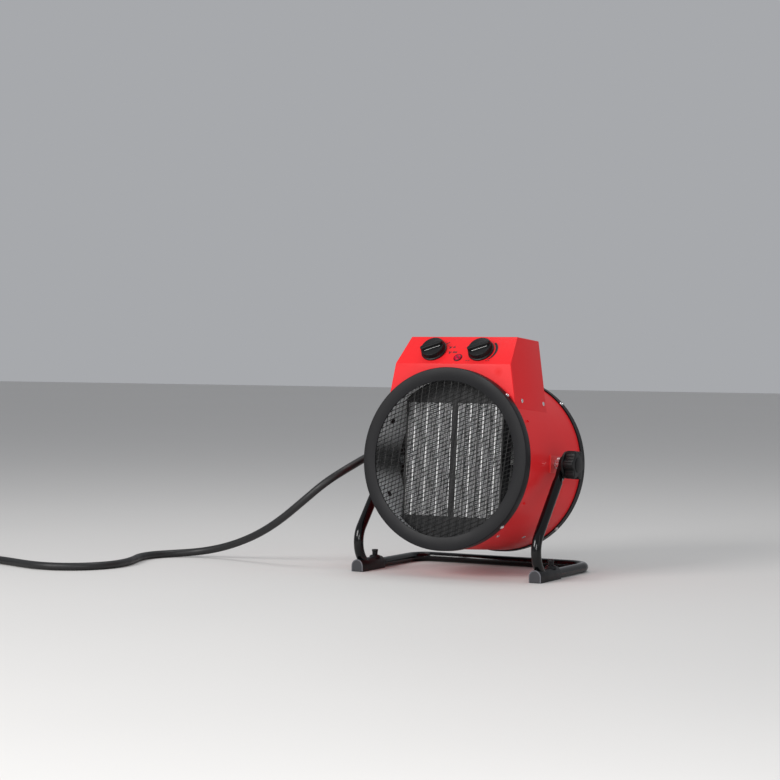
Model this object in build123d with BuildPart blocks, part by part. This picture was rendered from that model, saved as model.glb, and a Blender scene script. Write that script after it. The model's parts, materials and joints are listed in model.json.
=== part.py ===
"""Round ceramic fan heater on a tubular tilting stand.

A steel drum has a black ring and mesh at the front, two ceramic heating elements, an axial fan and a control
box on top. A rubber lead leaves the box and ends in a five-pin plug.

Millimetres, +Z up. The origin is on the bench under the middle of the heater and its stand, and the air blows
towards -Y. Depths are counted back from the front face of the front ring, along the axis of the drum.
"""

import os
from math import asin, atan2, cos, degrees, hypot, pi, radians, sin, sqrt, tan

from build123d import *

os.makedirs("parts", exist_ok=True)

# ---- Driving dimensions --------------------------------------------------------------------------
tilt = 5.4  # nose-up tilt of the drum at rest, degrees

# Drum, liner, rings and grilles
drum_radius = 134.0
drum_length = 208.0
sheet = 1.2
ring_depth = 16.0
ring_wall = 3.0
ring_lap = 17.2  # how far the front ring's face reaches in over the drum's mouth
ring_lip = 2.2
mesh_lip = 0.6
rear_ring_depth = 11.5
rear_ring_wall = 2.0
rear_ring_lap = 12.0
ring_screw_depth = 10.7
rear_screw_back = 8.5  # ahead of the drum's back end
liner_gap = 10.0  # between the drum and the liner
liner_wall = 0.8
liner_front = 8.0
liner_length = 82.0
fit = 0.1  # gap round a part that slips inside another
mesh_thickness = 1.2
mesh_pitch = 10.0
mesh_wire = 1.6
guard_thickness = 2.0
guard_bar = 3.0
guard_pitch = 12.0
guard_spokes = 8
guard_spoke_width = 4.0
guard_hub_radius = 24.0

# Heating elements
element_width = 75.0
element_gap = 10.0
element_corner_gap = 2.58  # between the corners of the elements' frame and the liner
element_front = 31.0
element_depth = 26.0
element_plates = 8
plate_thickness = 1.5
frame_edge = 2.5
frame_overhang = 3.0  # behind the elements
cutout_radius = 8.0
cutout_height = 9.0
cutout_rise = 16.0  # above the elements' frame

# Fan and motor
fan_tip_gap = 24.0  # between the blades' tips and the drum
fan_motor_gap = 21.0  # from the middle of the fan wheel back to the motor
fan_blades = 5
fan_hub_radius = 20.0
fan_hub_length = 22.0
blade_thickness = 1.6
blade_root_chord = 26.0
blade_tip_chord = 74.0
blade_root_pitch = 48.0
blade_tip_pitch = 24.0
shaft_radius = 4.0
running_clearance = 0.05
motor_radius = 36.0
motor_length = 42.0
motor_back_gap = 21.0  # between the motor and the drum's back end
motor_nose_radius = 11.0
motor_nose = 4.0
motor_screw_spacing = 50.0
bracket_width = 34.0
bracket_thickness = 2.0
bracket_foot = 8.0

# Control box
box_front = 16.2
box_depth = 107.0
box_rise = 9.6  # from the top of the drum to the crease under the sloped panel
panel_rise = 43.4  # from the crease to the box's top
panel_run = 33.5  # how far the sloped panel leans back
seam_angle = 35.75  # where the box's sides meet the drum, degrees above its axis
side_lean = 9.6  # degrees from upright
box_skirt = 18.3  # how far the walls run down past the seam before the drum is cut out of them
box_flange = 8.0
cover_margin = 1.0  # between the back cover's edge and the box's
cover_foot_rise = 5.7  # from the seam up to the back cover's foot
hood_rivet_rise = 12.7  # above the seam
hood_rivet_depths = (41.0, 114.0)
window_margin = 27.7  # from the crease's ends in to the opening between the box and the drum
window_end = 14.0  # from the box's front and back to that opening
knob_spacing = 80.0
knob_rise = 25.5  # up the panel from the crease
knob_radius = 20.5
knob_height = 16.0
knob_skirt = 3.0  # thickness of the knob's skirt
knob_step = 2.0  # from the skirt's edge in to the crown
knob_crown = 8.0
knob_taper = 8.0
knob_grip_width = 9.0
knob_grip_angle = 25.0
spindle_radius = 3.0
spindle_hole_radius = 5.0
spindle_reach = 9.0  # into the knob
spindle_depth = 12.0  # behind the panel
selector_size = (38.0, 30.0, 34.0)
thermostat_size = (32.0, 32.0, 22.0)
bulb_radius = 3.0
bulb_length = 38.0
bulb_side = 46.0
bulb_drop = 34.0  # below the drum's top
bulb_fan_gap = 20.0  # ahead of the middle of the fan wheel
capillary_radius = 1.0
terminal_block_size = (20.0, 62.0, 18.0)
terminal_slot = (13.0, 7.0, 4.0)
terminal_pitch = 11.0
terminal_count = 5
terminal_side = -38.0
terminal_depth = 72.0
lamp_radius = 7.5
lamp_rim = 1.5  # from the rim's edge in to the barrel
lamp_wall = 0.8
lamp_rim_height = 1.2
lamp_barrel = 14.0
lamp_seat = 6.0  # behind the panel, where the lens starts
lamp_length = 8.6
lamp_side = 5.0
lamp_rise = 12.0

# Pivots and clamp knobs
pivot_depth = 102.5
drum_clearance = 33.5  # between the drum and the bench when it is level
stud_radius = 4.0
pad_thickness = 2.0
nut_thickness = 6.5
nut_width = 13.0
stud_head = 5.0
stud_head_gap = 1.0  # between the stud's head and the drum's wall
pad_half_height = 13.0
pad_half_length = 15.0
washer_radius = 12.0
clamp_knob_radius = 23.0
clamp_flange = 4.0
clamp_height = 22.0
clamp_lobes = 6
clamp_lobe_radius = 6.0
clamp_cap = 5.0  # closed end over the stud
side_gap = 0.3  # between faces that turn on each other

# Stand
leg_gap = 16.0  # between the drum and each leg's centre plane
tube_radius = 7.5
tube_wall = 1.5
leg_bend_radius = 37.0
leg_bend_forward = 58.0  # from the pivot to the centre of the leg's bend
base_reach = 93.0  # from the pivot back to the rear bar
base_corner_radius = 30.0
eye_thickness = 6.0
eye_radius = 11.0
eye_trim = 1.0  # the pressed length is this much narrower than the eye, each side
pressed_end = 19.0  # below the pivot, where the tube is pressed flat
round_end = 34.0  # below the pivot, where the tube is round again
foot_width = 20.0
foot_height = 19.0
foot_front = 99.5  # ahead of the pivot
foot_length = 69.5
foot_boss = 2.5  # round the bolt
foot_boss_height = 2.0
foot_bolt_radius = 4.8
foot_bolt_head = 9.0
foot_run_out = 5.0  # of the groove, behind the foot
foot_bolt_back = 13.0  # behind the end of the leg

# Fasteners
screw_radius = 2.0
screw_head_radius = 3.8
screw_head_height = 2.0
rivet_radius = 1.6
rivet_head_radius = 3.2
rivet_head_height = 1.4
rivet_tail = 1.5
screw_length = 8.0
ring_screw_head_radius = 3.2
liner_screw_angle = 27.0

# Lead, gland and plug
cord_radius = 6.0
gland_side = -45.0
gland_rise = 8.4  # above the height of the crease
gland_width = 24.0
gland_length = 8.0
gland_thread_radius = 8.0
gland_thread = 12.0
relief_length = 40.0
relief_radius = 9.5
relief_wall = 0.8  # at its thin end
flex_gap = 5.0  # between the length that tilts with the drum and the one that stays
plug_radius = 29.5
plug_length = 104.0
plug_neck_radius = 19.0
plug_neck = 22.0
plug_wall = 3.0
plug_sleeve = 44.0  # depth of the hollow round the pins
plug_nut_length = 24.0
plug_nut_radius = 13.0
plug_nut_grip = 16.0
plug_nut_collar = 6.0
pin_circle = 14.0
pin_length = 36.0
pin_radius = 2.5
earth_pin_radius = 3.2

# The lead's route, from the strain relief down behind the drum and forward past the left clamp knob
upper_route = [
    (-45.0, 82.1, 312.2),
    (-45.5, 124.0, 308.0),
    (-57.0, 160.0, 288.0),
    (-84.0, 178.0, 256.0),
    (-121.0, 178.0, 226.0),
    (-158.0, 155.0, 204.0),
    (-184.0, 116.0, 190.0),
    (-195.0, 71.0, 181.0),
    (-197.0, 26.0, 172.0),
]
# From beside the knob down to the bench and along it to the coil
lower_route = [
    (-206.5, -36.0, 152.0),
    (-229.0, -66.0, 131.0),
    (-265.0, -75.0, 100.0),
    (-308.0, -71.5, 69.0),
    (-353.0, -63.0, 45.0),
    (-399.0, -54.0, 27.5),
    (-442.0, -48.5, 15.5),
    (-482.0, -49.5, 8.2),
    (-515.0, -71.0, 6.0),
    (-532.5, -108.0, 6.0),
    (-528.0, -148.0, 6.0),
    (-511.5, -183.0, 6.0),
    (-498.5, -221.0, 6.0),
    (-497.0, -261.0, 6.0),
    (-513.0, -297.5, 6.0),
    (-545.0, -321.0, 6.0),
    (-585.0, -326.5, 6.0),
    (-624.0, -316.0, 6.0),
    (-664.0, -301.0, 6.0),
    (-709.0, -287.0, 6.0),
    (-757.0, -275.0, 6.0),
]
# From the coil up over the lead itself and on to the plug
tail_route = [
    (-732.5, -341.3, 6.0),
    (-731.1, -312.0, 11.0),
    (-741.0, -282.5, 18.5),
    (-762.0, -258.0, 22.0),
    (-791.0, -240.0, 20.0),
    (-824.0, -228.5, 15.0),
    (-854.0, -220.0, 18.0),
    (-880.0, -214.5, 24.0),
    (-905.0, -211.5, 28.6),
    (-930.0, -211.5, 29.5),
]
coil_centre = (-800.0, -327.0)
coil_radius = 66.0
coil_width = 26.0

# ---- Values worked out from those ----------------------------------------------------------------
inner_drum_radius = drum_radius - sheet
outer_ring_radius = drum_radius + fit + ring_wall
ring_inner_radius = drum_radius - ring_lap
rear_ring_radius = drum_radius + fit + rear_ring_wall
rear_ring_inner_radius = drum_radius - rear_ring_lap
rear_screw_depth = drum_length - rear_screw_back
liner_radius = drum_radius - liner_gap
liner_bore = liner_radius - liner_wall
motor_back = drum_length - motor_back_gap
motor_front = motor_back - motor_length
fan_radius = drum_radius - fan_tip_gap
fan_depth = motor_front - fan_motor_gap
crease_height = drum_radius + box_rise
top_height = crease_height + panel_rise
side_slope = tan(radians(side_lean))
seam_height = drum_radius * sin(radians(seam_angle))
crease_half_width = drum_radius * cos(radians(seam_angle)) - (crease_height - seam_height) * side_slope
leg_side = drum_radius + leg_gap
pivot_height = drum_radius + drum_clearance
pivot_back = (2 * pivot_depth - drum_length) / 2 * cos(radians(tilt))
pivot = Vector(0, pivot_back, pivot_height)
forward = Vector(0, -cos(radians(tilt)), sin(radians(tilt)))
across = Vector(1, 0, 0)
drum_plane = Plane(origin=pivot, x_dir=across, z_dir=forward)
up = drum_plane.y_dir
front_centre = pivot + forward * pivot_depth
drum_axis = Axis(front_centre, forward)
profile_plane = Plane(origin=front_centre, x_dir=up, z_dir=(-1, 0, 0))  # x is radius, y is depth
side_plane = Plane(origin=front_centre, x_dir=-forward, z_dir=across)  # x is depth, y is height


def station(depth):
    """The plane across the drum at a depth behind the front ring's face: x across, y up, facing forward."""
    return drum_plane.offset(pivot_depth - depth)


def drum_point(side, height, depth):
    """A point given across, above the drum's axis and back from the ring's face."""
    return front_centre + across * side + up * height - forward * depth


def radial_plane(angle, depth, radius):
    """The plane that touches the drum's circle of that radius at an angle from +X, facing outwards."""
    outward = across * cos(radians(angle)) + up * sin(radians(angle))
    return Plane(origin=front_centre - forward * depth + outward * radius, x_dir=forward, z_dir=outward)


def save(name, built):
    """Labels a finished piece and writes it as a STEP file under its own name."""
    built.part.label = name
    export_step(built.part, f"parts/{name}.step")


def turned(points):
    """A solid of revolution about the drum's axis from (radius, depth) points."""
    with BuildPart() as built:
        with BuildSketch(profile_plane):
            with BuildLine():
                Polyline(*points, close=True)
            make_face()
        revolve(axis=drum_axis)
    return built


screw_reach = 8.0  # of a screw hole's cut, to each side of the surface that it enters


def screw_holes(angles, depth, radius, hole_radius):
    """Cuts radial holes through a wall at that radius, in the part that is being built."""
    for angle in angles:
        with BuildSketch(radial_plane(angle, depth, radius)) as hole:
            Circle(hole_radius)
        extrude(hole.sketch, amount=screw_reach, both=True, mode=Mode.SUBTRACT)


diagonals = (45, 135, 225, 315)
clearance_hole = screw_radius + running_clearance
stud_hole = stud_radius + running_clearance
rivet_hole = rivet_radius + running_clearance


def half_width(height, inset=0.0):
    """Half the control box's width at a height above the drum's axis."""
    return crease_half_width + (crease_height - height) * side_slope - inset / cos(radians(side_lean))


# ---- Drum ----------------------------------------------------------------------------------------
drum_front = ring_wall + mesh_thickness
drum_back = drum_length - ring_wall
window_half = crease_half_width - window_margin
liner_screw_angles = (liner_screw_angle, 180 - liner_screw_angle, 180 + liner_screw_angle, -liner_screw_angle)
liner_screw_depth = 36.0
drum_rivet_angles = (-56, -124)
drum_rivet_depths = (43, 130)

with BuildPart() as drum_shell:
    with BuildSketch(station(drum_front)):
        Circle(drum_radius)
        Circle(inner_drum_radius, mode=Mode.SUBTRACT)
    extrude(amount=-(drum_back - drum_front))
    with BuildSketch(station(box_front + window_end)):
        with Locations((0, drum_radius)):
            Rectangle(2 * window_half, drum_radius / 2)
    extrude(amount=-(box_depth - 2 * window_end), mode=Mode.SUBTRACT)
    screw_holes(diagonals, ring_screw_depth, drum_radius, clearance_hole)
    screw_holes(diagonals, rear_screw_depth, drum_radius, clearance_hole)
    screw_holes((0, 180), pivot_depth, drum_radius, stud_hole)
    screw_holes(liner_screw_angles, liner_screw_depth, drum_radius, clearance_hole)
    for rivet_depth in drum_rivet_depths:
        screw_holes(drum_rivet_angles, rivet_depth, drum_radius, rivet_hole)
save("drum_shell", drum_shell)

with BuildPart() as front_ring:
    with BuildSketch(profile_plane):
        with BuildLine():
            Polyline(
                (ring_inner_radius, 0),
                (outer_ring_radius, 0),
                (outer_ring_radius, ring_depth),
                (outer_ring_radius - ring_wall, ring_depth),
                (outer_ring_radius - ring_wall, ring_wall),
                (ring_inner_radius + ring_lip, ring_wall),
                (ring_inner_radius, ring_wall - mesh_lip),
                close=True,
            )
        make_face()
    revolve(axis=drum_axis)
    front_edges = front_ring.edges().filter_by(GeomType.CIRCLE).sort_by(lambda e: e.radius)[-2:]
    fillet(front_edges.sort_by(lambda e: (e.arc_center - front_centre).length)[0], radius=ring_wall * 0.6)
    screw_holes(diagonals, ring_screw_depth, drum_radius + ring_wall, clearance_hole)
save("front_ring", front_ring)

mesh_open_radius = ring_inner_radius + ring_lip
with BuildPart() as front_grille:
    with BuildSketch(station(ring_wall)):
        Circle(inner_drum_radius - fit)
        steps = int(2 * mesh_open_radius / mesh_pitch)
        with GridLocations(mesh_pitch, mesh_pitch, steps, steps) as grid:
            inside = [
                place
                for place in grid.local_locations
                if hypot(place.position.X, place.position.Y) < mesh_open_radius - mesh_pitch
            ]
        with Locations(*inside):
            Rectangle(mesh_pitch - mesh_wire, mesh_pitch - mesh_wire, mode=Mode.SUBTRACT)
    extrude(amount=-mesh_thickness)
save("front_grille", front_grille)

rear_ring = turned(
    [
        (rear_ring_inner_radius, drum_length),
        (rear_ring_radius, drum_length),
        (rear_ring_radius, drum_length - rear_ring_depth),
        (rear_ring_radius - rear_ring_wall, drum_length - rear_ring_depth),
        (rear_ring_radius - rear_ring_wall, drum_back),
        (rear_ring_inner_radius, drum_back),
    ]
)
with rear_ring:
    screw_holes(diagonals, rear_screw_depth, drum_radius + rear_ring_wall, clearance_hole)
save("rear_ring", rear_ring)

guard_rim = rear_ring_inner_radius - guard_spoke_width
spoke_start = guard_hub_radius - guard_spoke_width
with BuildPart() as rear_grille:
    with BuildSketch(station(drum_back - guard_thickness)):
        Circle(inner_drum_radius - fit)
        Circle(guard_rim, mode=Mode.SUBTRACT)
        guard_radius = guard_rim - guard_pitch
        while guard_radius > guard_hub_radius + 2 * guard_bar:
            Circle(guard_radius)
            Circle(guard_radius - guard_bar, mode=Mode.SUBTRACT)
            guard_radius -= guard_pitch
        Circle(guard_hub_radius)
        with PolarLocations((guard_rim + guard_bar + spoke_start) / 2, guard_spokes):
            Rectangle(guard_rim + guard_bar - spoke_start, guard_spoke_width)
    extrude(amount=-guard_thickness)
save("rear_grille", rear_grille)

# ---- Liner, baffles and heating elements ---------------------------------------------------------
with BuildPart() as heat_liner:
    with BuildSketch(station(liner_front)):
        Circle(liner_radius)
        Circle(liner_bore, mode=Mode.SUBTRACT)
    extrude(amount=-liner_length)
    screw_holes(liner_screw_angles, liner_screw_depth, liner_radius, clearance_hole)
save("heat_liner", heat_liner)

liner_screw_seat = sqrt(liner_bore**2 - screw_head_radius**2)
liner_screw_reach = 3.0  # past the drum's outer face
with BuildPart() as liner_screws:
    for angle in liner_screw_angles:
        with BuildSketch(radial_plane(angle, liner_screw_depth, liner_screw_seat)):
            Circle(screw_radius)
        extrude(amount=liner_gap + liner_screw_reach)
        with BuildSketch(radial_plane(angle, liner_screw_depth, liner_screw_seat)):
            Circle(screw_head_radius)
        extrude(amount=-screw_head_height)
save("liner_screws", liner_screws)

frame_half_width = element_gap / 2 + element_width + frame_edge
frame_half_height = sqrt((liner_bore - element_corner_gap) ** 2 - frame_half_width**2)
element_height = 2 * (frame_half_height - frame_edge)
element_middle = (element_gap + element_width) / 2
with BuildPart() as element_frame:
    with BuildSketch(station(element_front)):
        Rectangle(2 * frame_half_width, 2 * frame_half_height)
        with Locations((-element_middle, 0), (element_middle, 0)):
            Rectangle(element_width, element_height, mode=Mode.SUBTRACT)
    extrude(amount=-element_depth - frame_overhang)
save("element_frame", element_frame)

for name, side in (("upper_baffle", 1), ("lower_baffle", -1)):
    with BuildPart() as baffle:
        with BuildSketch(station(element_front)):
            Circle(liner_bore - fit)
            with Locations((0, side * (frame_half_height - liner_radius))):
                Rectangle(3 * liner_radius, 2 * liner_radius, mode=Mode.SUBTRACT)
        extrude(amount=-sheet)
    save(name, baffle)

plate_setback = 1.0  # the plates' and then the fins' step back from the frame's face
plate_pitch = (element_width - plate_thickness) / (element_plates - 1)
fin_width = plate_pitch - plate_thickness
for name, side in (("left", -1), ("right", 1)):
    with BuildPart() as plates:
        with BuildSketch(station(element_front + plate_setback)):
            with Locations((side * element_middle, 0)):
                with GridLocations(plate_pitch, 1, element_plates, 1):
                    Rectangle(plate_thickness, element_height)
        extrude(amount=-element_depth)
    save(f"{name}_element_plates", plates)
    with BuildPart() as fins:
        with BuildSketch(station(element_front + 2 * plate_setback)):
            with Locations((side * element_middle, 0)):
                with GridLocations(plate_pitch, 1, element_plates - 1, 1):
                    Rectangle(fin_width, element_height)
        extrude(amount=-(element_depth - 2 * plate_setback))
    save(f"{name}_element_fins", fins)

# ---- Fan and motor -------------------------------------------------------------------------------
hub_front = fan_depth - fan_hub_length / 2
blade_root_sink = 3.0  # into the hub, so that the blade and hub are one piece
blade_root_radius = fan_hub_radius - blade_root_sink
blade_sections = (
    (blade_root_radius, blade_root_chord, blade_root_pitch),
    (fan_radius, blade_tip_chord, blade_tip_pitch),
)
first_blade_angle = 18.0
with BuildPart() as fan_wheel:
    with BuildSketch(station(hub_front)):
        Circle(fan_hub_radius)
    extrude(amount=-fan_hub_length)
    fan_centre = drum_point(0, 0, fan_depth)
    for blade in range(fan_blades):
        turn = radians(360 / fan_blades * blade + first_blade_angle)
        outward = across * cos(turn) + up * sin(turn)
        sideways = up * cos(turn) - across * sin(turn)
        for radius, chord, pitch in blade_sections:
            blade_x = sideways * cos(radians(pitch)) + forward * sin(radians(pitch))
            with BuildSketch(Plane(origin=fan_centre + outward * radius, x_dir=blade_x, z_dir=outward)):
                Rectangle(chord, blade_thickness)
        loft()
    with BuildSketch(station(fan_depth - fan_hub_length)):
        Circle(shaft_radius)
    extrude(amount=-2 * fan_hub_length, mode=Mode.SUBTRACT)
save("fan_wheel", fan_wheel)

shaft_proud = 4.0  # ahead of the hub
shaft_cover = 8.0  # of motor behind the shaft's end
shaft_front = hub_front - shaft_proud
shaft_back = motor_back - shaft_cover
with BuildPart() as fan_shaft:
    with BuildSketch(station(shaft_front)):
        Circle(shaft_radius)
    extrude(amount=-(shaft_back - shaft_front))
save("fan_shaft", fan_shaft)

motor_edge = 4.0
motor_screw_length = 8.0
with BuildPart() as fan_motor:
    with BuildSketch(station(motor_front)):
        Circle(motor_radius)
    extrude(amount=-motor_length)
    fillet(fan_motor.edges().filter_by(GeomType.CIRCLE), radius=motor_edge)
    with BuildSketch(station(motor_front)):
        Circle(motor_nose_radius)
    extrude(amount=motor_nose)
    with BuildSketch(station(motor_front - motor_nose)):
        Circle(shaft_radius + running_clearance)
    extrude(amount=-(shaft_back - motor_front + motor_nose + side_gap), mode=Mode.SUBTRACT)
    with BuildSketch(station(motor_back)):
        with GridLocations(motor_screw_spacing, 1, 2, 1):
            Circle(screw_radius)
    extrude(amount=motor_screw_length, mode=Mode.SUBTRACT)
save("fan_motor", fan_motor)

with BuildPart() as motor_bracket:
    with BuildSketch(station(motor_back)):
        Circle(inner_drum_radius)
        Rectangle(3 * drum_radius, bracket_width, mode=Mode.INTERSECT)
    extrude(amount=-bracket_thickness - bracket_foot)
    with BuildSketch(station(motor_back + bracket_thickness)):
        Circle(inner_drum_radius - bracket_thickness)
    extrude(amount=-bracket_foot, mode=Mode.SUBTRACT)
    with BuildSketch(station(motor_back)):
        with GridLocations(motor_screw_spacing, 1, 2, 1):
            Circle(clearance_hole)
    extrude(amount=-bracket_thickness, mode=Mode.SUBTRACT)
save("motor_bracket", motor_bracket)

with BuildPart() as motor_screws:
    with BuildSketch(station(motor_back + bracket_thickness)):
        with GridLocations(motor_screw_spacing, 1, 2, 1):
            Circle(screw_head_radius)
    extrude(amount=-screw_head_height)
    with BuildSketch(station(motor_back + bracket_thickness)):
        with GridLocations(motor_screw_spacing, 1, 2, 1):
            Circle(screw_radius)
    extrude(amount=bracket_thickness + motor_screw_length - 1)
save("motor_screws", motor_screws)

# ---- Control box ---------------------------------------------------------------------------------
box_back = box_front + box_depth
gland_height = crease_height + gland_rise
box_foot = seam_height - box_skirt


def box_block(inset, back):
    """The control box's outer form, or its hollow when the walls are drawn in by inset."""
    with BuildPart() as block:
        with BuildSketch(side_plane):
            # How far the sloped face sinks when its wall is drawn in, measured straight down
            drop = inset * hypot(panel_run, panel_rise) / panel_run
            face_crease = crease_height - drop + inset * panel_rise / panel_run
            panel_top = box_front + (panel_rise - inset + drop) * panel_run / panel_rise
            with BuildLine():
                Polyline(
                    (box_front + inset, box_foot),
                    (box_front + inset, face_crease),
                    (panel_top, top_height - inset),
                    (back, top_height - inset),
                    (back, box_foot),
                    close=True,
                )
            make_face()
        extrude(amount=2 * crease_half_width, both=True)
        with BuildSketch(station(0)):
            with BuildLine():
                Polyline(
                    (-half_width(box_foot, inset), box_foot),
                    (-half_width(top_height, inset), top_height),
                    (half_width(top_height, inset), top_height),
                    (half_width(box_foot, inset), box_foot),
                    close=True,
                )
            make_face()
        extrude(amount=-2 * drum_length, mode=Mode.INTERSECT)
    return block.part


panel_normal = (forward * panel_rise + up * panel_run).normalized()
panel_plane = Plane(origin=drum_point(0, crease_height, box_front), x_dir=across, z_dir=panel_normal)
knob_places = {"selector": (-knob_spacing / 2, knob_rise), "thermostat": (knob_spacing / 2, knob_rise)}
hood_rivet_height = seam_height + hood_rivet_rise
cover_screw_drop = 9.0  # of the upper row, below the top
cover_screw_rows = (  # height, distance in from the side
    (top_height - cover_screw_drop, 21.9),
    (crease_height - 21.6, 13.4),
)
cover_screw_places = [
    (side * (half_width(height) - inward), height) for height, inward in cover_screw_rows for side in (-1, 1)
]
opening_foot = crease_height - 3.6  # the lower edge of the opening behind the back cover
wall_cut = 5.0  # reach of a cut to each side of a thin wall
box_outer = box_block(0, box_back)
box_inner = box_block(sheet, box_back - sheet)


def side_wall_plane(side, height, depth):
    """The plane on a side wall's outer face, facing outwards."""
    outward = across * side * cos(radians(side_lean)) + up * sin(radians(side_lean))
    return Plane(
        origin=drum_point(side * half_width(height), height, depth), x_dir=forward, z_dir=outward
    )


with BuildPart() as control_box:
    add(box_outer)
    add(box_inner, mode=Mode.SUBTRACT)
    with BuildSketch(station(0)):
        Circle(drum_radius)
    extrude(amount=-2 * drum_length, mode=Mode.SUBTRACT)
    with BuildSketch(station(box_back)):
        with BuildLine():
            Polyline(
                (-half_width(opening_foot, box_flange), opening_foot),
                (-half_width(top_height, box_flange), top_height - box_flange),
                (half_width(top_height, box_flange), top_height - box_flange),
                (half_width(opening_foot, box_flange), opening_foot),
                close=True,
            )
        make_face()
    extrude(amount=wall_cut, both=True, mode=Mode.SUBTRACT)
    with BuildSketch(panel_plane):
        with Locations(*knob_places.values()):
            Circle(spindle_hole_radius)
        with Locations((lamp_side, lamp_rise)):
            Circle(lamp_radius - lamp_rim)
    extrude(amount=wall_cut, both=True, mode=Mode.SUBTRACT)
    for side in (-1, 1):
        for rivet_depth in hood_rivet_depths:
            with BuildSketch(side_wall_plane(side, hood_rivet_height, rivet_depth)):
                Circle(rivet_hole)
            extrude(amount=wall_cut, both=True, mode=Mode.SUBTRACT)
    with BuildSketch(station(box_back)):
        with Locations(*cover_screw_places):
            Circle(clearance_hole)
    extrude(amount=wall_cut, both=True, mode=Mode.SUBTRACT)
save("control_box", control_box)

with BuildPart() as back_cover:
    with BuildSketch(station(box_back)):
        with BuildLine():
            Polyline(
                (-half_width(box_foot, cover_margin), box_foot),
                (-half_width(top_height, cover_margin), top_height - cover_margin),
                (half_width(top_height, cover_margin), top_height - cover_margin),
                (half_width(box_foot, cover_margin), box_foot),
                close=True,
            )
        make_face()
        Circle(drum_radius, mode=Mode.SUBTRACT)
        Rectangle(4 * drum_radius, 2 * (seam_height + cover_foot_rise), mode=Mode.SUBTRACT)
        with Locations((gland_side, gland_height)):
            Circle(gland_thread_radius + running_clearance, mode=Mode.SUBTRACT)
        with Locations(*cover_screw_places):
            Circle(clearance_hole, mode=Mode.SUBTRACT)
    extrude(amount=-sheet)
save("back_cover", back_cover)

with BuildPart() as back_cover_screws:
    with BuildSketch(station(box_back + sheet)):
        with Locations(*cover_screw_places):
            Circle(screw_head_radius)
    extrude(amount=-screw_head_height)
    with BuildSketch(station(box_back + sheet)):
        with Locations(*cover_screw_places):
            Circle(screw_radius)
    extrude(amount=screw_length)
save("back_cover_screws", back_cover_screws)

with BuildPart() as hood_rivets:
    for side in (-1, 1):
        for rivet_depth in hood_rivet_depths:
            with BuildSketch(side_wall_plane(side, hood_rivet_height, rivet_depth)):
                Circle(rivet_head_radius)
            extrude(amount=rivet_head_height)
            with BuildSketch(side_wall_plane(side, hood_rivet_height, rivet_depth)):
                Circle(rivet_radius)
            extrude(amount=-sheet - rivet_tail)
save("hood_rivets", hood_rivets)

# Knobs, spindles, switch, thermostat and lamp
for name, place in knob_places.items():
    knob_plane = panel_plane.offset(side_gap)
    with BuildPart() as knob:
        with BuildSketch(knob_plane):
            with Locations(place):
                Circle(knob_radius)
        extrude(amount=knob_skirt)
        with BuildSketch(knob_plane.offset(knob_skirt)):
            with Locations(place):
                Circle(knob_radius - knob_step)
        extrude(amount=knob_crown, taper=knob_taper)
        with BuildSketch(knob_plane.offset(knob_skirt)):
            with Locations(Location((*place, 0), (0, 0, knob_grip_angle))):
                SlotOverall(2 * (knob_radius - knob_step) - 1, knob_grip_width)
        extrude(amount=knob_height - knob_skirt)
        with BuildSketch(knob_plane):
            with Locations(place):
                Circle(spindle_radius)
        extrude(amount=spindle_reach, mode=Mode.SUBTRACT)
    save(f"{name}_knob", knob)
    with BuildPart() as spindle:
        with BuildSketch(panel_plane.offset(-spindle_depth)):
            with Locations(place):
                Circle(spindle_radius)
        extrude(amount=spindle_depth + side_gap + spindle_reach)
    save(f"{name}_spindle", spindle)

control_bodies = (
    ("selector_switch", "selector", selector_size),
    ("thermostat_body", "thermostat", thermostat_size),
)
control_corner = 3.0
for name, knob_name, (width, height, depth) in control_bodies:
    with BuildPart() as control_body:
        with BuildSketch(panel_plane.offset(-sheet)):
            with Locations(knob_places[knob_name]):
                RectangleRounded(width, height, control_corner)
        extrude(amount=-depth)
        with BuildSketch(panel_plane):
            with Locations(knob_places[knob_name]):
                Circle(spindle_radius + running_clearance)
        extrude(amount=-(spindle_depth + side_gap), mode=Mode.SUBTRACT)
    save(name, control_body)

with BuildPart() as thermostat_capillary:
    bulb_depth = fan_depth - bulb_fan_gap
    bulb_top = drum_point(bulb_side, drum_radius - bulb_drop, bulb_depth)
    thermostat_back = -sheet - thermostat_size[2]
    tube_start = panel_plane.from_local_coords(Vector(knob_spacing / 2, knob_rise, thermostat_back))
    with BuildLine() as capillary_line:
        Polyline(
            tube_start,
            drum_point(bulb_side - 3, drum_radius - 4, (box_front + bulb_depth + 36) / 2),
            drum_point(bulb_side, drum_radius - 16, bulb_depth),
            bulb_top,
        )
    with BuildSketch(Plane(origin=tube_start, z_dir=capillary_line.line % 0)):
        Circle(capillary_radius)
    sweep(path=capillary_line.line, transition=Transition.ROUND)
    with BuildSketch(Plane(origin=bulb_top, x_dir=across, z_dir=up * -1)):
        Circle(bulb_radius)
    extrude(amount=bulb_length)
save("thermostat_capillary", thermostat_capillary)

with BuildPart() as lamp_bezel:
    with BuildSketch(panel_plane):
        with Locations((lamp_side, lamp_rise)):
            Circle(lamp_radius)
    extrude(amount=lamp_rim_height)
    with BuildSketch(panel_plane):
        with Locations((lamp_side, lamp_rise)):
            Circle(lamp_radius - lamp_rim)
    extrude(amount=-lamp_barrel)
    with BuildSketch(panel_plane.offset(-lamp_seat)):
        with Locations((lamp_side, lamp_rise)):
            Circle(lamp_radius - lamp_rim - lamp_wall)
    extrude(amount=lamp_barrel, mode=Mode.SUBTRACT)
save("lamp_bezel", lamp_bezel)

with BuildPart() as lamp_lens:
    with BuildSketch(panel_plane.offset(-lamp_seat)):
        with Locations((lamp_side, lamp_rise)):
            Circle(lamp_radius - lamp_rim - lamp_wall)
    extrude(amount=lamp_length)
    fillet(lamp_lens.faces().sort_by(Axis(panel_plane.origin, panel_normal))[-1].edges(), radius=1)
save("lamp_lens", lamp_lens)

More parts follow.
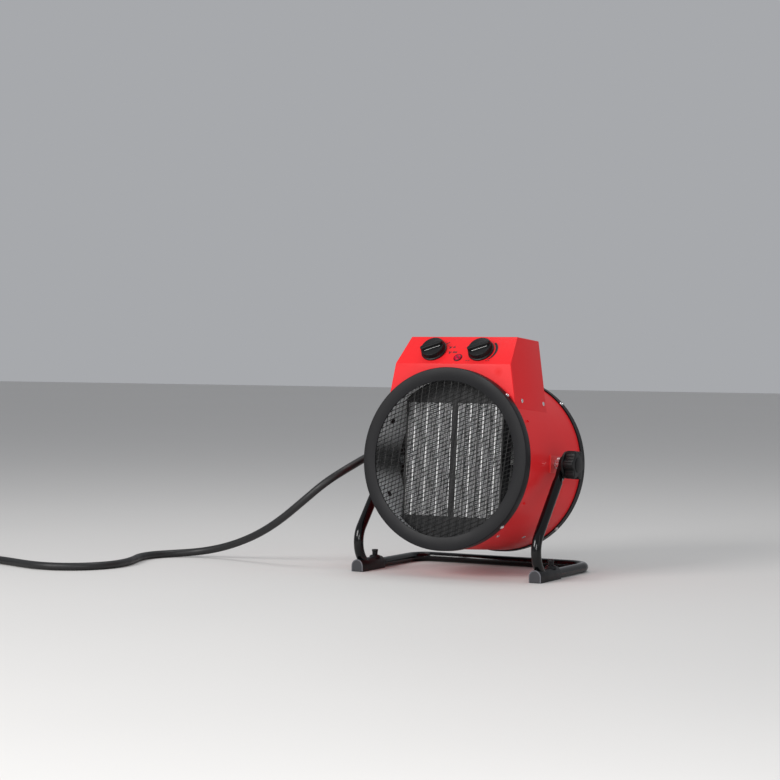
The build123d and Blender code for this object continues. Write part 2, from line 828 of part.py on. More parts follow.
with BuildPart() as terminal_block:
    block_width, block_height, block_depth = terminal_block_size
    slot_width, slot_height, slot_depth = terminal_slot
    with BuildSketch(station(terminal_depth)):
        with Locations((terminal_side, gland_height)):
            Rectangle(block_width, block_height)
    extrude(amount=-block_depth)
    with BuildSketch(station(terminal_depth)):
        with Locations((terminal_side, gland_height)):
            with GridLocations(1, terminal_pitch, 1, terminal_count):
                Rectangle(slot_width, slot_height)
    extrude(amount=-slot_depth, mode=Mode.SUBTRACT)
save("terminal_block", terminal_block)

with BuildPart() as thermal_cutout:
    with BuildSketch(station(element_front + sheet)):
        with Locations((0, frame_half_height + cutout_rise)):
            Circle(cutout_radius)
    extrude(amount=-cutout_height)
save("thermal_cutout", thermal_cutout)

# ---- Screws and rivets on the drum ---------------------------------------------------------------
screw_rows = (
    ("front_ring_screws", ring_screw_depth, outer_ring_radius),
    ("rear_ring_screws", rear_screw_depth, rear_ring_radius),
)
for name, depth, radius in screw_rows:
    with BuildPart() as screws:
        for angle in diagonals:
            with BuildSketch(radial_plane(angle, depth, radius)):
                Circle(ring_screw_head_radius)
            extrude(amount=screw_head_height)
            with BuildSketch(radial_plane(angle, depth, radius)):
                Circle(screw_radius)
            extrude(amount=-screw_length)
    save(name, screws)

with BuildPart() as drum_rivets:
    for angle in drum_rivet_angles:
        for rivet_depth in drum_rivet_depths:
            with BuildSketch(radial_plane(angle, rivet_depth, drum_radius)):
                Circle(rivet_head_radius)
            extrude(amount=rivet_head_height)
            with BuildSketch(radial_plane(angle, rivet_depth, drum_radius)):
                Circle(rivet_radius)
            extrude(amount=-sheet - rivet_tail)
save("drum_rivets", drum_rivets)

# ---- Pivots --------------------------------------------------------------------------------------
pad_outer = drum_radius + pad_thickness
washer_face = leg_side - eye_thickness / 2 - side_gap
knob_face = leg_side + eye_thickness / 2 + side_gap
stud_seat = inner_drum_radius - stud_head_gap
stud_tip = knob_face + clamp_height - clamp_cap - 1

with BuildPart() as pivot_pads:
    with BuildSketch(station(pivot_depth - pad_half_length)):
        Circle(pad_outer)
        Circle(drum_radius, mode=Mode.SUBTRACT)
        Rectangle(4 * drum_radius, 2 * pad_half_height, mode=Mode.INTERSECT)
    extrude(amount=-2 * pad_half_length)
    screw_holes((0, 180), pivot_depth, pad_outer, stud_hole)
save("pivot_pads", pivot_pads)

with BuildPart() as pivot_studs:
    for angle in (0, 180):
        with BuildSketch(radial_plane(angle, pivot_depth, stud_seat)):
            RegularPolygon(nut_width / 2, 6, major_radius=False)
        extrude(amount=-stud_head)
        with BuildSketch(radial_plane(angle, pivot_depth, stud_seat - stud_head)):
            Circle(stud_radius)
        extrude(amount=stud_tip - stud_seat + stud_head)
save("pivot_studs", pivot_studs)

with BuildPart() as pivot_nuts:
    for angle in (0, 180):
        with BuildSketch(radial_plane(angle, pivot_depth, pad_outer)):
            RegularPolygon(nut_width / 2, 6, major_radius=False)
            Circle(stud_hole, mode=Mode.SUBTRACT)
        extrude(amount=nut_thickness)
save("pivot_nuts", pivot_nuts)

with BuildPart() as friction_washers:
    for angle in (0, 180):
        with BuildSketch(radial_plane(angle, pivot_depth, pad_outer + nut_thickness)):
            Circle(washer_radius)
            Circle(stud_hole, mode=Mode.SUBTRACT)
        extrude(amount=washer_face - pad_outer - nut_thickness)
save("friction_washers", friction_washers)

for name, angle in (("right", 0), ("left", 180)):
    with BuildPart() as clamp_knob:
        with BuildSketch(radial_plane(angle, pivot_depth, knob_face)):
            Circle(clamp_knob_radius - clamp_lobe_radius / 2)
        extrude(amount=clamp_flange)
        with BuildSketch(radial_plane(angle, pivot_depth, knob_face + clamp_flange)):
            Circle(clamp_knob_radius - clamp_lobe_radius)
            with PolarLocations(clamp_knob_radius - clamp_lobe_radius, clamp_lobes):
                Circle(clamp_lobe_radius)
        extrude(amount=clamp_height - clamp_flange)
        with BuildSketch(radial_plane(angle, pivot_depth, knob_face)):
            Circle(stud_hole)
        extrude(amount=clamp_height - clamp_cap, mode=Mode.SUBTRACT)
    save(f"{name}_clamp_knob", clamp_knob)

# ---- Stand ---------------------------------------------------------------------------------------
bend_y = pivot.Y - leg_bend_forward
bend_z = tube_radius + leg_bend_radius
foot_bend_arc = (150, 120)  # degrees: where the bend starts and how far it turns, past both ends of the foot
reach = hypot(pivot.Y - bend_y, pivot.Z - bend_z)
lean = atan2(pivot.Y - bend_y, pivot.Z - bend_z) + asin(leg_bend_radius / reach)  # from upright
leg_length = sqrt(reach**2 - leg_bend_radius**2)

foot_y = pivot.Y - foot_front
bolt_y = bend_y + foot_bolt_back
bolt_seat = foot_height + foot_boss_height
bolt_foot = 2 * tube_radius + 2 * fit
bolt_shank_radius = foot_bolt_radius - 1
tube_front = bend_y - sqrt(leg_bend_radius**2 - (leg_bend_radius - tube_radius) ** 2)

for name, side in (("right", 1), ("left", -1)):
    leg_plane = Plane(origin=(side * leg_side, 0, 0), x_dir=(0, 1, 0), z_dir=(1, 0, 0))  # x is Y, y is Z
    leg_down = Vector(0, -sin(lean), -cos(lean))
    hinge_point = Vector(side * leg_side, pivot.Y, pivot.Z)
    tangent_y, tangent_z = bend_y - leg_bend_radius * cos(lean), bend_z + leg_bend_radius * sin(lean)
    with BuildPart() as leg:
        with BuildLine(leg_plane) as leg_line:
            Line(
                (pivot.Y - round_end * sin(lean), pivot.Z - round_end * cos(lean)),
                (tangent_y, tangent_z),
            )
            CenterArc((bend_y, bend_z), leg_bend_radius, 180 - degrees(lean), 90 + degrees(lean))
        tube_top = hinge_point + leg_down * round_end
        with BuildSketch(Plane(origin=tube_top, x_dir=across, z_dir=leg_down)):
            Circle(tube_radius)
            Circle(tube_radius - tube_wall, mode=Mode.SUBTRACT)
        sweep(path=leg_line.line)
        with BuildSketch(Plane(origin=tube_top, x_dir=across, z_dir=leg_down * -1)):
            Circle(tube_radius)
        flat_point = hinge_point + leg_down * pressed_end
        with BuildSketch(Plane(origin=flat_point, x_dir=across, z_dir=leg_down * -1)):
            Rectangle(eye_thickness, 2 * (eye_radius - eye_trim))
        loft()
        eye_plane = Plane(origin=hinge_point - across * eye_thickness / 2, x_dir=leg_down, z_dir=across)
        with BuildSketch(eye_plane):
            Circle(eye_radius)
            with Locations((pressed_end / 2, 0)):
                Rectangle(pressed_end, 2 * (eye_radius - eye_trim))
            Circle(stud_hole, mode=Mode.SUBTRACT)
        extrude(amount=eye_thickness)
    save(f"{name}_leg", leg)

    groove_end = foot_y + foot_length + foot_run_out
    with BuildPart() as foot:
        with BuildSketch(Plane(origin=(side * leg_side, foot_y, 0), x_dir=(1, 0, 0), z_dir=(0, -1, 0))):
            with Locations((0, (foot_height - foot_width / 2) / 2)):
                Rectangle(foot_width, foot_height - foot_width / 2)
            with Locations((0, foot_height - foot_width / 2)):
                Circle(foot_width / 2)
            with Locations((0, -foot_width / 2)):
                Rectangle(2 * foot_width, foot_width, mode=Mode.SUBTRACT)
        extrude(amount=-foot_length)
        with BuildSketch(Plane(origin=(side * leg_side, bolt_y, foot_height - foot_boss_height))):
            Circle(foot_bolt_radius + foot_boss)
        extrude(amount=2 * foot_boss_height)
        # The leg's tube passes through: its bend, its straight run, and the way in from below
        with BuildLine(leg_plane) as bend_line:
            CenterArc((bend_y, bend_z), leg_bend_radius, *foot_bend_arc)
            Line((bend_y, tube_radius), (groove_end, tube_radius))
        with BuildSketch(Plane(origin=bend_line.line @ 0, x_dir=across, z_dir=bend_line.line % 0)):
            Circle(tube_radius)
        sweep(path=bend_line.line, mode=Mode.SUBTRACT)
        with BuildSketch(Plane(origin=(side * leg_side, (tube_front + groove_end) / 2, 0))):
            Rectangle(2 * tube_radius, groove_end - tube_front)
        extrude(amount=tube_radius, mode=Mode.SUBTRACT)
        with BuildSketch(Plane(origin=(side * leg_side, bolt_y, tube_radius))):
            Circle(bolt_shank_radius)
        extrude(amount=foot_height + 2 * foot_boss_height, mode=Mode.SUBTRACT)
    save(f"{name}_foot", foot)

    with BuildPart() as foot_bolt:
        with BuildSketch(Plane(origin=(side * leg_side, bolt_y, bolt_seat))):
            Circle(foot_bolt_radius)
        extrude(amount=foot_bolt_head)
        with BuildSketch(Plane(origin=(side * leg_side, bolt_y, bolt_foot))):
            Circle(bolt_shank_radius)
        extrude(amount=bolt_seat - bolt_foot)
    save(f"{name}_foot_bolt", foot_bolt)

with BuildPart() as base_tube:
    rear_y = pivot.Y + base_reach
    with BuildLine(Plane.XY.offset(tube_radius)) as base_line:
        FilletPolyline(
            (leg_side, bend_y),
            (leg_side, rear_y),
            (-leg_side, rear_y),
            (-leg_side, bend_y),
            radius=base_corner_radius,
        )
    with BuildSketch(Plane(origin=(leg_side, bend_y, tube_radius), x_dir=(1, 0, 0), z_dir=(0, 1, 0))):
        Circle(tube_radius)
        Circle(tube_radius - tube_wall, mode=Mode.SUBTRACT)
    sweep(path=base_line.line)
save("base_tube", base_tube)

# ---- Gland, strain relief, lead and plug ---------------------------------------------------------
gland_seat = drum_point(gland_side, gland_height, box_back + sheet)
gland_plane = Plane(origin=gland_seat, x_dir=across, z_dir=-forward)
with BuildPart() as cable_gland:
    with BuildSketch(gland_plane):
        RegularPolygon(gland_width / 2, 6, major_radius=False)
    extrude(amount=gland_length)
    with BuildSketch(gland_plane):
        Circle(gland_thread_radius)
    extrude(amount=-gland_thread)
save("cable_gland", cable_gland)

with BuildPart() as strain_relief:
    with BuildSketch(gland_plane.offset(gland_length)):
        Circle(relief_radius)
    with BuildSketch(gland_plane.offset(gland_length + relief_length)):
        Circle(cord_radius + relief_wall)
    loft()
save("strain_relief", strain_relief)


def bend_radii(route):
    """The largest arc that each corner's two runs allow."""
    radii = []
    for before, corner, after in zip(route, route[1:], route[2:]):
        run_in, run_out = Vector(*corner) - Vector(*before), Vector(*after) - Vector(*corner)
        turn = radians(run_in.get_angle(run_out))
        radii.append(0.45 * min(run_in.length, run_out.length) / tan(turn / 2))
    return radii


def lead(name, route):
    """A length of the lead: straight runs joined by tangent arcs."""
    radii = bend_radii(route)
    with BuildPart() as built:
        with BuildLine() as line:
            FilletPolyline(*route, radius=radii)
        with BuildSketch(Plane(origin=route[0], z_dir=line.line % 0)):
            Circle(cord_radius)
        sweep(path=line.line)
    length = sum(edge.length for edge in line.edges())
    runs = [(Vector(*b) - Vector(*a)).length for a, b in zip(route, route[1:])]
    print(name, "length", round(length, 1), "volume / section / length", end=" ")
    print(round(built.part.volume / (cord_radius**2 * pi * length), 4))
    print("  radii", [round(r) for r in radii])
    print("  runs", [round(r) for r in runs])
    return built


# The lead flexes beside the left clamp knob, where the upper length tilts with the drum and the lower one
# stays with the stand.
flex_start, flex_end = Vector(*upper_route[-1]), Vector(*lower_route[0])
flex_heading = (flex_end - flex_start).normalized()
flex_middle = flex_start + flex_heading * (flex_start.Y - pivot.Y) / -flex_heading.Y
upper_end = flex_middle - flex_heading * flex_gap / 2
lower_start = flex_middle + flex_heading * flex_gap / 2
upper_lead = lead("power_cord_upper", [*upper_route, tuple(upper_end)])
save("power_cord_upper", upper_lead)
lower_lead = lead("power_cord_lower", [tuple(lower_start), *lower_route])
save("power_cord_lower", lower_lead)

tail_lead = lead("power_cord_tail", tail_route)
save("power_cord_tail", tail_lead)

with BuildPart() as cord_coil:
    with BuildSketch(Plane(origin=(*coil_centre, 0), x_dir=(1, 0, 0), z_dir=(0, -1, 0))):
        with Locations((coil_radius, cord_radius)):
            SlotOverall(coil_width, 2 * cord_radius)
    revolve(axis=Axis((*coil_centre, 0), (0, 0, 1)))
save("cord_coil", cord_coil)

plug_back = Vector(*tail_route[-1])
plug_plane = Plane(origin=plug_back, x_dir=(0, 1, 0), z_dir=(-1, 0, 0))
with BuildPart() as plug_nut:
    with BuildSketch(plug_plane):
        Circle(plug_nut_radius)
    extrude(amount=plug_nut_length)
    with BuildSketch(plug_plane.offset(plug_nut_collar)):
        RegularPolygon(plug_nut_grip, 12)
    extrude(amount=plug_nut_length - plug_nut_collar)
save("plug_nut", plug_nut)

plug_end = plug_nut_length + plug_length
with BuildPart() as plug_housing:
    with BuildSketch(plug_plane.offset(plug_nut_length)):
        Circle(plug_neck_radius)
    with BuildSketch(plug_plane.offset(plug_nut_length + plug_neck)):
        Circle(plug_radius)
    loft()
    with BuildSketch(plug_plane.offset(plug_nut_length + plug_neck)):
        Circle(plug_radius)
    extrude(amount=plug_length - plug_neck)
    with BuildSketch(plug_plane.offset(plug_end)):
        Circle(plug_radius - plug_wall)
    extrude(amount=-plug_sleeve, mode=Mode.SUBTRACT)
save("plug_housing", plug_housing)

with BuildPart() as plug_pins:
    with BuildSketch(plug_plane.offset(plug_end - plug_sleeve)):
        with PolarLocations(pin_circle, 4, start_angle=45):
            Circle(pin_radius)
        with PolarLocations(pin_circle, 1, start_angle=270):
            Circle(earth_pin_radius)
    extrude(amount=pin_length)
save("plug_pins", plug_pins)
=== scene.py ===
"""Ceramic drum fan heater: a red steel drum with a black ring and woven mesh, ceramic elements
behind it, a control box with two knobs and a lamp, a tubular tilting stand, and a rubber lead with
a round industrial plug.

Lengths are in metres. Pieces of the drum are shaped in the drum's own frame, where X is across,
Y runs back from the ring's face along the drum's axis and Z is up, and are then put in place by
one matrix.
"""

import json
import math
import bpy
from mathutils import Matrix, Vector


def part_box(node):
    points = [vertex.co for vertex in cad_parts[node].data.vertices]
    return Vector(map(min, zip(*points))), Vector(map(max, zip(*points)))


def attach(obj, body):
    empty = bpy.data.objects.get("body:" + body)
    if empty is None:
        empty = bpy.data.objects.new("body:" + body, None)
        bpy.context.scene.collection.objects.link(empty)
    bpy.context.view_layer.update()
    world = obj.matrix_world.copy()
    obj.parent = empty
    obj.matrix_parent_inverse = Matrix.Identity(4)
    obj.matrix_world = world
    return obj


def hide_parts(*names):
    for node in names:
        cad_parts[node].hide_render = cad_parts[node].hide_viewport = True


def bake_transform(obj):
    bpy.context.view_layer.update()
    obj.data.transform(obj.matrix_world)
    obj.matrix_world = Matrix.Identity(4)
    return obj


bl_info = {
    "name": "Ceramic drum heater",
    "version": (1, 0, 0),
    "blender": (4, 5, 0),
    "location": "3D View > Sidebar > Heater",
    "description": "Finishes and detailed pieces for a ceramic drum fan heater",
    "category": "Object",
}

import bmesh
import bpy
from bpy.props import FloatProperty, FloatVectorProperty, IntProperty, PointerProperty
from mathutils import Matrix, Vector

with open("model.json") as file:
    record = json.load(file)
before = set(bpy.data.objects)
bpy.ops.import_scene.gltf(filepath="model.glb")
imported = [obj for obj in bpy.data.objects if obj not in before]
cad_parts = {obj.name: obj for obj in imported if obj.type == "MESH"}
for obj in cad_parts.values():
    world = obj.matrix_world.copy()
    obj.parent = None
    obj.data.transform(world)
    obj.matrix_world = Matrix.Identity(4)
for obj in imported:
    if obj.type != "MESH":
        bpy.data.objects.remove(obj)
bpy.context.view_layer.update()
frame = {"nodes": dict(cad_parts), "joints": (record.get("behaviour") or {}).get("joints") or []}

# ---- Places read from the frame ------------------------------------------------------------------
joints = {joint["name"]: joint for joint in frame["joints"]}
across = Vector((1, 0, 0))
forward = Vector(joints["fan_spin"]["axis"]).normalized()
up = forward.cross(across)
fan_centre = Vector(joints["fan_spin"]["pos_m"])
ring_face = max(vertex.co.dot(forward) for vertex in frame["nodes"]["front_ring"].data.vertices)
front_centre = fan_centre + forward * (ring_face - fan_centre.dot(forward))


def axes_at(origin, x_axis, y_axis, z_axis):
    """The matrix that puts a shape made about the origin at a place, along three given axes."""
    turn = Matrix((x_axis, y_axis, z_axis)).transposed().to_4x4()
    return Matrix.Translation(origin) @ turn


drum_place = axes_at(front_centre, across, -forward, up)
to_drum = drum_place.inverted()


def drum_span(node):
    """The lowest and highest corner of a CAD node in the drum's frame."""
    places = [to_drum @ vertex.co for vertex in frame["nodes"][node].data.vertices]
    low = Vector(min(place[axis] for place in places) for axis in range(3))
    high = Vector(max(place[axis] for place in places) for axis in range(3))
    return low, high


ring_high = drum_span("front_ring")[1]
ring_radius = ring_high.x
drum_radius = drum_span("drum_shell")[1].x
box_low, box_high = drum_span("control_box")
box_front, box_back, box_top = box_low.y, box_high.y, box_high.z
plates_low, plates_high = drum_span("right_element_plates")
plate_thickness = 0.0015
channels = 7  # between the plates of one element
plate_pitch = (plates_high.x - plates_low.x - plate_thickness) / channels
knob_places = {
    name: axes_at(
        Vector(joints[f"{name}_turn"]["pos_m"]),
        across,
        Vector(joints[f"{name}_turn"]["axis"]).cross(across),
        Vector(joints[f"{name}_turn"]["axis"]),
    )
    for name in ("selector", "thermostat")
}
panel_normal = Vector(joints["selector_turn"]["axis"]).normalized()
panel_rise = panel_normal.cross(across)

# Sheet-metal lines of the control box, in the drum's frame
seam_angle = math.radians(35.75)
side_lean = math.radians(9.6)
crease_height = drum_radius + 0.0096
knob_rise = 0.0255
crease = drum_place @ Vector((0, box_front, crease_height))
panel_place = axes_at(crease, across, panel_rise, panel_normal)


def half_width(height):
    """Half the control box's width at a height above the drum's axis."""
    seam = Vector((drum_radius * math.cos(seam_angle), drum_radius * math.sin(seam_angle)))
    return seam.x - (height - seam.y) * math.tan(side_lean)


# The lead's route: down behind the drum and forward past the clamp knob, then along the bench
lead_route = [
    (-0.0450, 0.0821, 0.3122),
    (-0.0455, 0.1240, 0.3080),
    (-0.0570, 0.1600, 0.2880),
    (-0.0840, 0.1780, 0.2560),
    (-0.1210, 0.1780, 0.2260),
    (-0.1580, 0.1550, 0.2040),
    (-0.1840, 0.1160, 0.1900),
    (-0.1950, 0.0710, 0.1810),
    (-0.1970, 0.0260, 0.1720),
    (-0.2065, -0.0360, 0.1520),
    (-0.2290, -0.0660, 0.1310),
    (-0.2650, -0.0750, 0.1000),
    (-0.3080, -0.0715, 0.0690),
    (-0.3530, -0.0630, 0.0450),
    (-0.3990, -0.0540, 0.0275),
    (-0.4420, -0.0485, 0.0155),
    (-0.4820, -0.0495, 0.0082),
    (-0.5150, -0.0710, 0.0060),
    (-0.5325, -0.1080, 0.0060),
    (-0.5280, -0.1480, 0.0060),
    (-0.5115, -0.1830, 0.0060),
    (-0.4985, -0.2210, 0.0060),
    (-0.4970, -0.2610, 0.0060),
    (-0.5130, -0.2975, 0.0060),
    (-0.5450, -0.3210, 0.0060),
    (-0.5850, -0.3265, 0.0060),
    (-0.6240, -0.3160, 0.0060),
    (-0.6640, -0.3010, 0.0060),
    (-0.7090, -0.2870, 0.0060),
    (-0.7570, -0.2750, 0.0060),
]
# The put-away turn: centre, radius of the spline's points, and the angles it runs between
coil_centre = (-0.800, -0.327)
coil_radius = 0.0675
coil_start_angle = 70.0
coil_end_angle = 330.0
coil_steps = 11
cord_height = 0.006
# From the turn up over the lead and on to the plug
tail_route = [
    (-0.7325, -0.3413, 0.0060),
    (-0.7311, -0.3120, 0.0110),
    (-0.7410, -0.2825, 0.0185),
    (-0.7620, -0.2580, 0.0220),
    (-0.7910, -0.2400, 0.0200),
    (-0.8240, -0.2285, 0.0150),
    (-0.8540, -0.2200, 0.0180),
    (-0.8800, -0.2145, 0.0240),
    (-0.9050, -0.2115, 0.0286),
    (-0.9300, -0.2115, 0.0295),
]


# ---- Sizes and colours that a user would change --------------------------------------------------
def length(name, description, default):
    """A size in metres."""
    return FloatProperty(
        name=name, description=description, default=default, min=0.0, unit="LENGTH", precision=5
    )


def colour(name, description, default):
    """A linear colour."""
    return FloatVectorProperty(
        name=name, description=description, default=default, size=3, min=0.0, max=1.0, subtype="COLOR"
    )


class HeaterSizes(bpy.types.PropertyGroup):
    """Sizes of the detailed pieces."""

    mesh_spacing: length("Mesh spacing", "Distance between neighbouring strands of the front mesh", 0.0059)
    mesh_strand: length("Mesh strand", "Thickness of the mesh's rising strands", 0.0013)
    mesh_post: length("Mesh post", "Thickness of the mesh's steep strands", 0.0010)
    mesh_rise: FloatProperty(
        name="Mesh rise",
        description="Angle of the rising strands above level",
        default=math.radians(23),
        unit="ROTATION",
    )
    mesh_steep: FloatProperty(
        name="Mesh steep",
        description="Angle of the steep strands above level",
        default=math.radians(83.6),
        unit="ROTATION",
    )
    fin_pitch: length("Fin pitch", "Height of one fold of the elements' fins", 0.0030)
    fin_thickness: length("Fin thickness", "Thickness of the folded fins", 0.00042)
    ring_edge: length("Ring edge", "Rounding of the front ring's outer edge", 0.0014)
    box_bend: length("Box bend", "Bend radius of the control box's sheet", 0.0013)
    foot_edge: length("Foot edge", "Rounding of the feet", 0.0008)
    turning_steps: IntProperty(
        name="Turning steps", description="Faces round a large turned piece", default=144, min=24, max=256
    )


class HeaterColours(bpy.types.PropertyGroup):
    """Colours of the paints, plastics and rubber."""

    paint: colour("Paint", "Red powder coat of the drum and box", (0.74, 0.021, 0.025))
    ring: colour("Ring", "Charcoal coat of the two rings", (0.0062, 0.0062, 0.0074))
    stand: colour("Stand", "Black coat of the stand", (0.0022, 0.0022, 0.0026))
    plastic: colour("Plastic", "Black plastic of knobs and feet", (0.0036, 0.0036, 0.0042))
    rubber: colour("Rubber", "Black rubber of the lead", (0.0060, 0.0060, 0.0066))
    lamp: colour("Lamp", "Lens of the lamp", (0.46, 0.001, 0.030))
    plug: colour("Plug", "Red moulding of the plug", (0.52, 0.016, 0.014))
    nut: colour("Plug nut", "Grey moulding of the plug's nut", (0.12, 0.125, 0.13))
    floor: colour("Floor", "Pale floor of the stage", (0.66, 0.65, 0.635))


# ---- Finishes ------------------------------------------------------------------------------------
def shifted(base, amount):
    """A colour made lighter or darker by a share of itself, with full alpha."""
    return (*(min(1.0, channel * (1 + amount)) for channel in base), 1.0)


def add_noise(material, scale, detail=3.0, stretch=None):
    """A noise texture on the object's own coordinates, stretched along an axis where that is asked for."""
    nodes, links = material.node_tree.nodes, material.node_tree.links
    where = nodes.new("ShaderNodeTexCoord")
    noise = nodes.new("ShaderNodeTexNoise")
    noise.inputs["Scale"].default_value = scale
    noise.inputs["Detail"].default_value = detail
    if stretch:
        mapping = nodes.new("ShaderNodeMapping")
        mapping.inputs["Scale"].default_value = stretch
        links.new(where.outputs["Object"], mapping.inputs["Vector"])
        links.new(mapping.outputs["Vector"], noise.inputs["Vector"])
    else:
        links.new(where.outputs["Object"], noise.inputs["Vector"])
    return noise


def add_bump(material, height, strength, distance):
    """A bump on the material's shader."""
    nodes, links = material.node_tree.nodes, material.node_tree.links
    bump = nodes.new("ShaderNodeBump")
    bump.inputs["Strength"].default_value = strength
    bump.inputs["Distance"].default_value = distance
    links.new(height, bump.inputs["Height"])
    links.new(bump.outputs["Normal"], nodes["Principled BSDF"].inputs["Normal"])


def finish(name, base, roughness, metallic=0.0, mottle=(14.0, 0.06), spread=0.05, grain=(900.0, 0.2, 0.0001),
           stretch=None, **sockets):
    """A finish whose colour and roughness drift over the piece, with a fine grain in its surface.

    mottle is the scale and depth of the colour's drift, spread the roughness's, and grain the scale,
    strength and depth of the surface's relief.
    """
    material = bpy.data.materials.new(name)
    material.use_nodes = True
    nodes, links = material.node_tree.nodes, material.node_tree.links
    shader = nodes["Principled BSDF"]
    shader.inputs["Metallic"].default_value = metallic
    for socket, value in sockets.items():
        shader.inputs[socket.replace("_", " ")].default_value = value
    drift = add_noise(material, mottle[0], 5.0, stretch)
    tone = nodes.new("ShaderNodeMix")
    tone.data_type = "RGBA"
    # The Mix node's colour sockets come after its float and vector ones
    first, second = tone.inputs[6], tone.inputs[7]
    first.default_value, second.default_value = shifted(base, -mottle[1]), shifted(base, mottle[1])
    links.new(drift.outputs["Fac"], tone.inputs[0])
    links.new(tone.outputs[2], shader.inputs["Base Color"])
    gloss = nodes.new("ShaderNodeMapRange")
    gloss.inputs["From Min"].default_value = 0.3
    gloss.inputs["From Max"].default_value = 0.7
    gloss.inputs["To Min"].default_value = max(0.02, roughness - spread)
    gloss.inputs["To Max"].default_value = roughness + spread
    links.new(drift.outputs["Fac"], gloss.inputs["Value"])
    links.new(gloss.outputs["Result"], shader.inputs["Roughness"])
    relief = add_noise(material, grain[0], 2.0, stretch)
    add_bump(material, relief.outputs["Fac"], grain[1], grain[2])
    return material


def drum_coordinates(material):
    """Places in the drum's frame, parted into X, Y and Z."""
    nodes, links = material.node_tree.nodes, material.node_tree.links
    where = nodes.new("ShaderNodeTexCoord")
    mapping = nodes.new("ShaderNodeMapping")
    mapping.vector_type = "TEXTURE"
    mapping.inputs["Location"].default_value = front_centre
    mapping.inputs["Rotation"].default_value = drum_place.to_euler()
    parted = nodes.new("ShaderNodeSeparateXYZ")
    links.new(where.outputs["Object"], mapping.inputs["Vector"])
    links.new(mapping.outputs["Vector"], parted.inputs["Vector"])
    return parted


def add_math(material, operation, first, second=None):
    """A sum on one or two sockets, or on a socket and a number."""
    nodes, links = material.node_tree.nodes, material.node_tree.links
    node = nodes.new("ShaderNodeMath")
    node.operation = operation
    links.new(first, node.inputs[0])
    if isinstance(second, float):
        node.inputs[1].default_value = second
    elif second is not None:
        links.new(second, node.inputs[1])
    return node.outputs[0]


def add_range(material, value, span, results):
    """A value carried smoothly from one span to another."""
    nodes, links = material.node_tree.nodes, material.node_tree.links
    node = nodes.new("ShaderNodeMapRange")
    node.interpolation_type = "SMOOTHSTEP"
    node.inputs["From Min"].default_value, node.inputs["From Max"].default_value = span
    node.inputs["To Min"].default_value, node.inputs["To Max"].default_value = results
    links.new(value, node.inputs["Value"])
    return node.outputs["Result"]


def multiply_colour(material, brightness):
    """Makes the material's colour darker by a brightness from 0 to 1."""
    nodes, links = material.node_tree.nodes, material.node_tree.links
    shader = nodes["Principled BSDF"]
    source = shader.inputs["Base Color"].links[0].from_socket
    scaled = nodes.new("ShaderNodeVectorMath")
    scaled.operation = "SCALE"
    links.new(source, scaled.inputs[0])
    links.new(brightness, scaled.inputs["Scale"])
    links.new(scaled.outputs["Vector"], shader.inputs["Base Color"])


def two_sided(name, material, radius, darkness):
    """A finish that is dark on whatever lies nearer to the drum's axis than that radius."""
    material.name = name
    parted = drum_coordinates(material)
    across_squared = add_math(material, "MULTIPLY", parted.outputs["X"], parted.outputs["X"])
    up_squared = add_math(material, "MULTIPLY", parted.outputs["Z"], parted.outputs["Z"])
    away = add_math(material, "SQRT", add_math(material, "ADD", across_squared, up_squared))
    multiply_colour(material, add_range(material, away, (radius - 0.0001, radius + 0.0001), (darkness, 1.0)))
    return material


def add_spot(material, place, radius, amount):
    """Darkens a soft round spot of the material's colour: painted shade standing in for a shallow dimple
    under the paint.
    """
    nodes, links = material.node_tree.nodes, material.node_tree.links
    shader = nodes["Principled BSDF"]
    where = nodes.new("ShaderNodeTexCoord")
    mapping = nodes.new("ShaderNodeMapping")
    mapping.vector_type = "TEXTURE"
    mapping.inputs["Location"].default_value = place
    mapping.inputs["Scale"].default_value = (radius, radius, radius)
    ball = nodes.new("ShaderNodeTexGradient")
    ball.gradient_type = "SPHERICAL"
    links.new(where.outputs["Object"], mapping.inputs["Vector"])
    links.new(mapping.outputs["Vector"], ball.inputs["Vector"])
    darker = nodes.new("ShaderNodeMix")
    darker.data_type = "RGBA"
    darker.blend_type = "MULTIPLY"
    source = shader.inputs["Base Color"].links[0].from_socket
    links.new(ball.outputs["Fac"], darker.inputs[0])
    links.new(source, darker.inputs[6])
    darker.inputs[7].default_value = (1 - amount / 12, 1 - amount, 1 - amount, 1)
    links.new(darker.outputs[2], shader.inputs["Base Color"])


def red_paint(colours):
    """Semi-gloss red powder coat, with a faint orange peel."""
    return finish("red_paint", colours.paint, 0.36, mottle=(9.0, 0.03), spread=0.04,
                  grain=(420.0, 0.25, 0.00008), Specular_IOR_Level=0.13)


def drum_paint(colours):
    """Red outside the drum, and painted shade inside it, where the inner face is darkened almost to black."""
    return two_sided("drum_paint", red_paint(colours), drum_radius - 0.0006, 0.012)


def screw_paint(colours):
    """Black heads inside the liner, painted over in red where they come through the drum."""
    return two_sided("screw_paint", red_paint(colours), drum_radius - 0.0040, 0.012)


def box_paint(colours):
    """The same red on the control box, with painted shade in a soft round spot on its front where a shallow
    dimple sits.
    """
    material = red_paint(colours)
    material.name = "box_paint"
    # Painted shade: a soft spot of deeper red stands in for the hollow of a small dimple
    painted_dimple_shade = drum_place @ Vector((0.078, box_front, 0.132))
    add_spot(material, painted_dimple_shade, 0.0085, 0.9)
    return material


def ring_coat(colours):
    """Satin charcoal powder coat with a fine sandy texture."""
    return finish("ring_coat", colours.ring, 0.44, mottle=(30.0, 0.12), spread=0.05,
                  grain=(1500.0, 0.35, 0.00012), Specular_IOR_Level=0.2)


def stand_coat(colours):
    """Glossy black powder coat over bent tube."""
    return finish("stand_coat", colours.stand, 0.15, mottle=(25.0, 0.1), spread=0.03,
                  grain=(260.0, 0.15, 0.00008), Specular_IOR_Level=0.33)


def black_plastic(colours):
    """Fine matt moulded plastic."""
    return finish("black_plastic", colours.plastic, 0.42, mottle=(60.0, 0.12), spread=0.06,
                  grain=(2200.0, 0.3, 0.00008), Specular_IOR_Level=0.3)


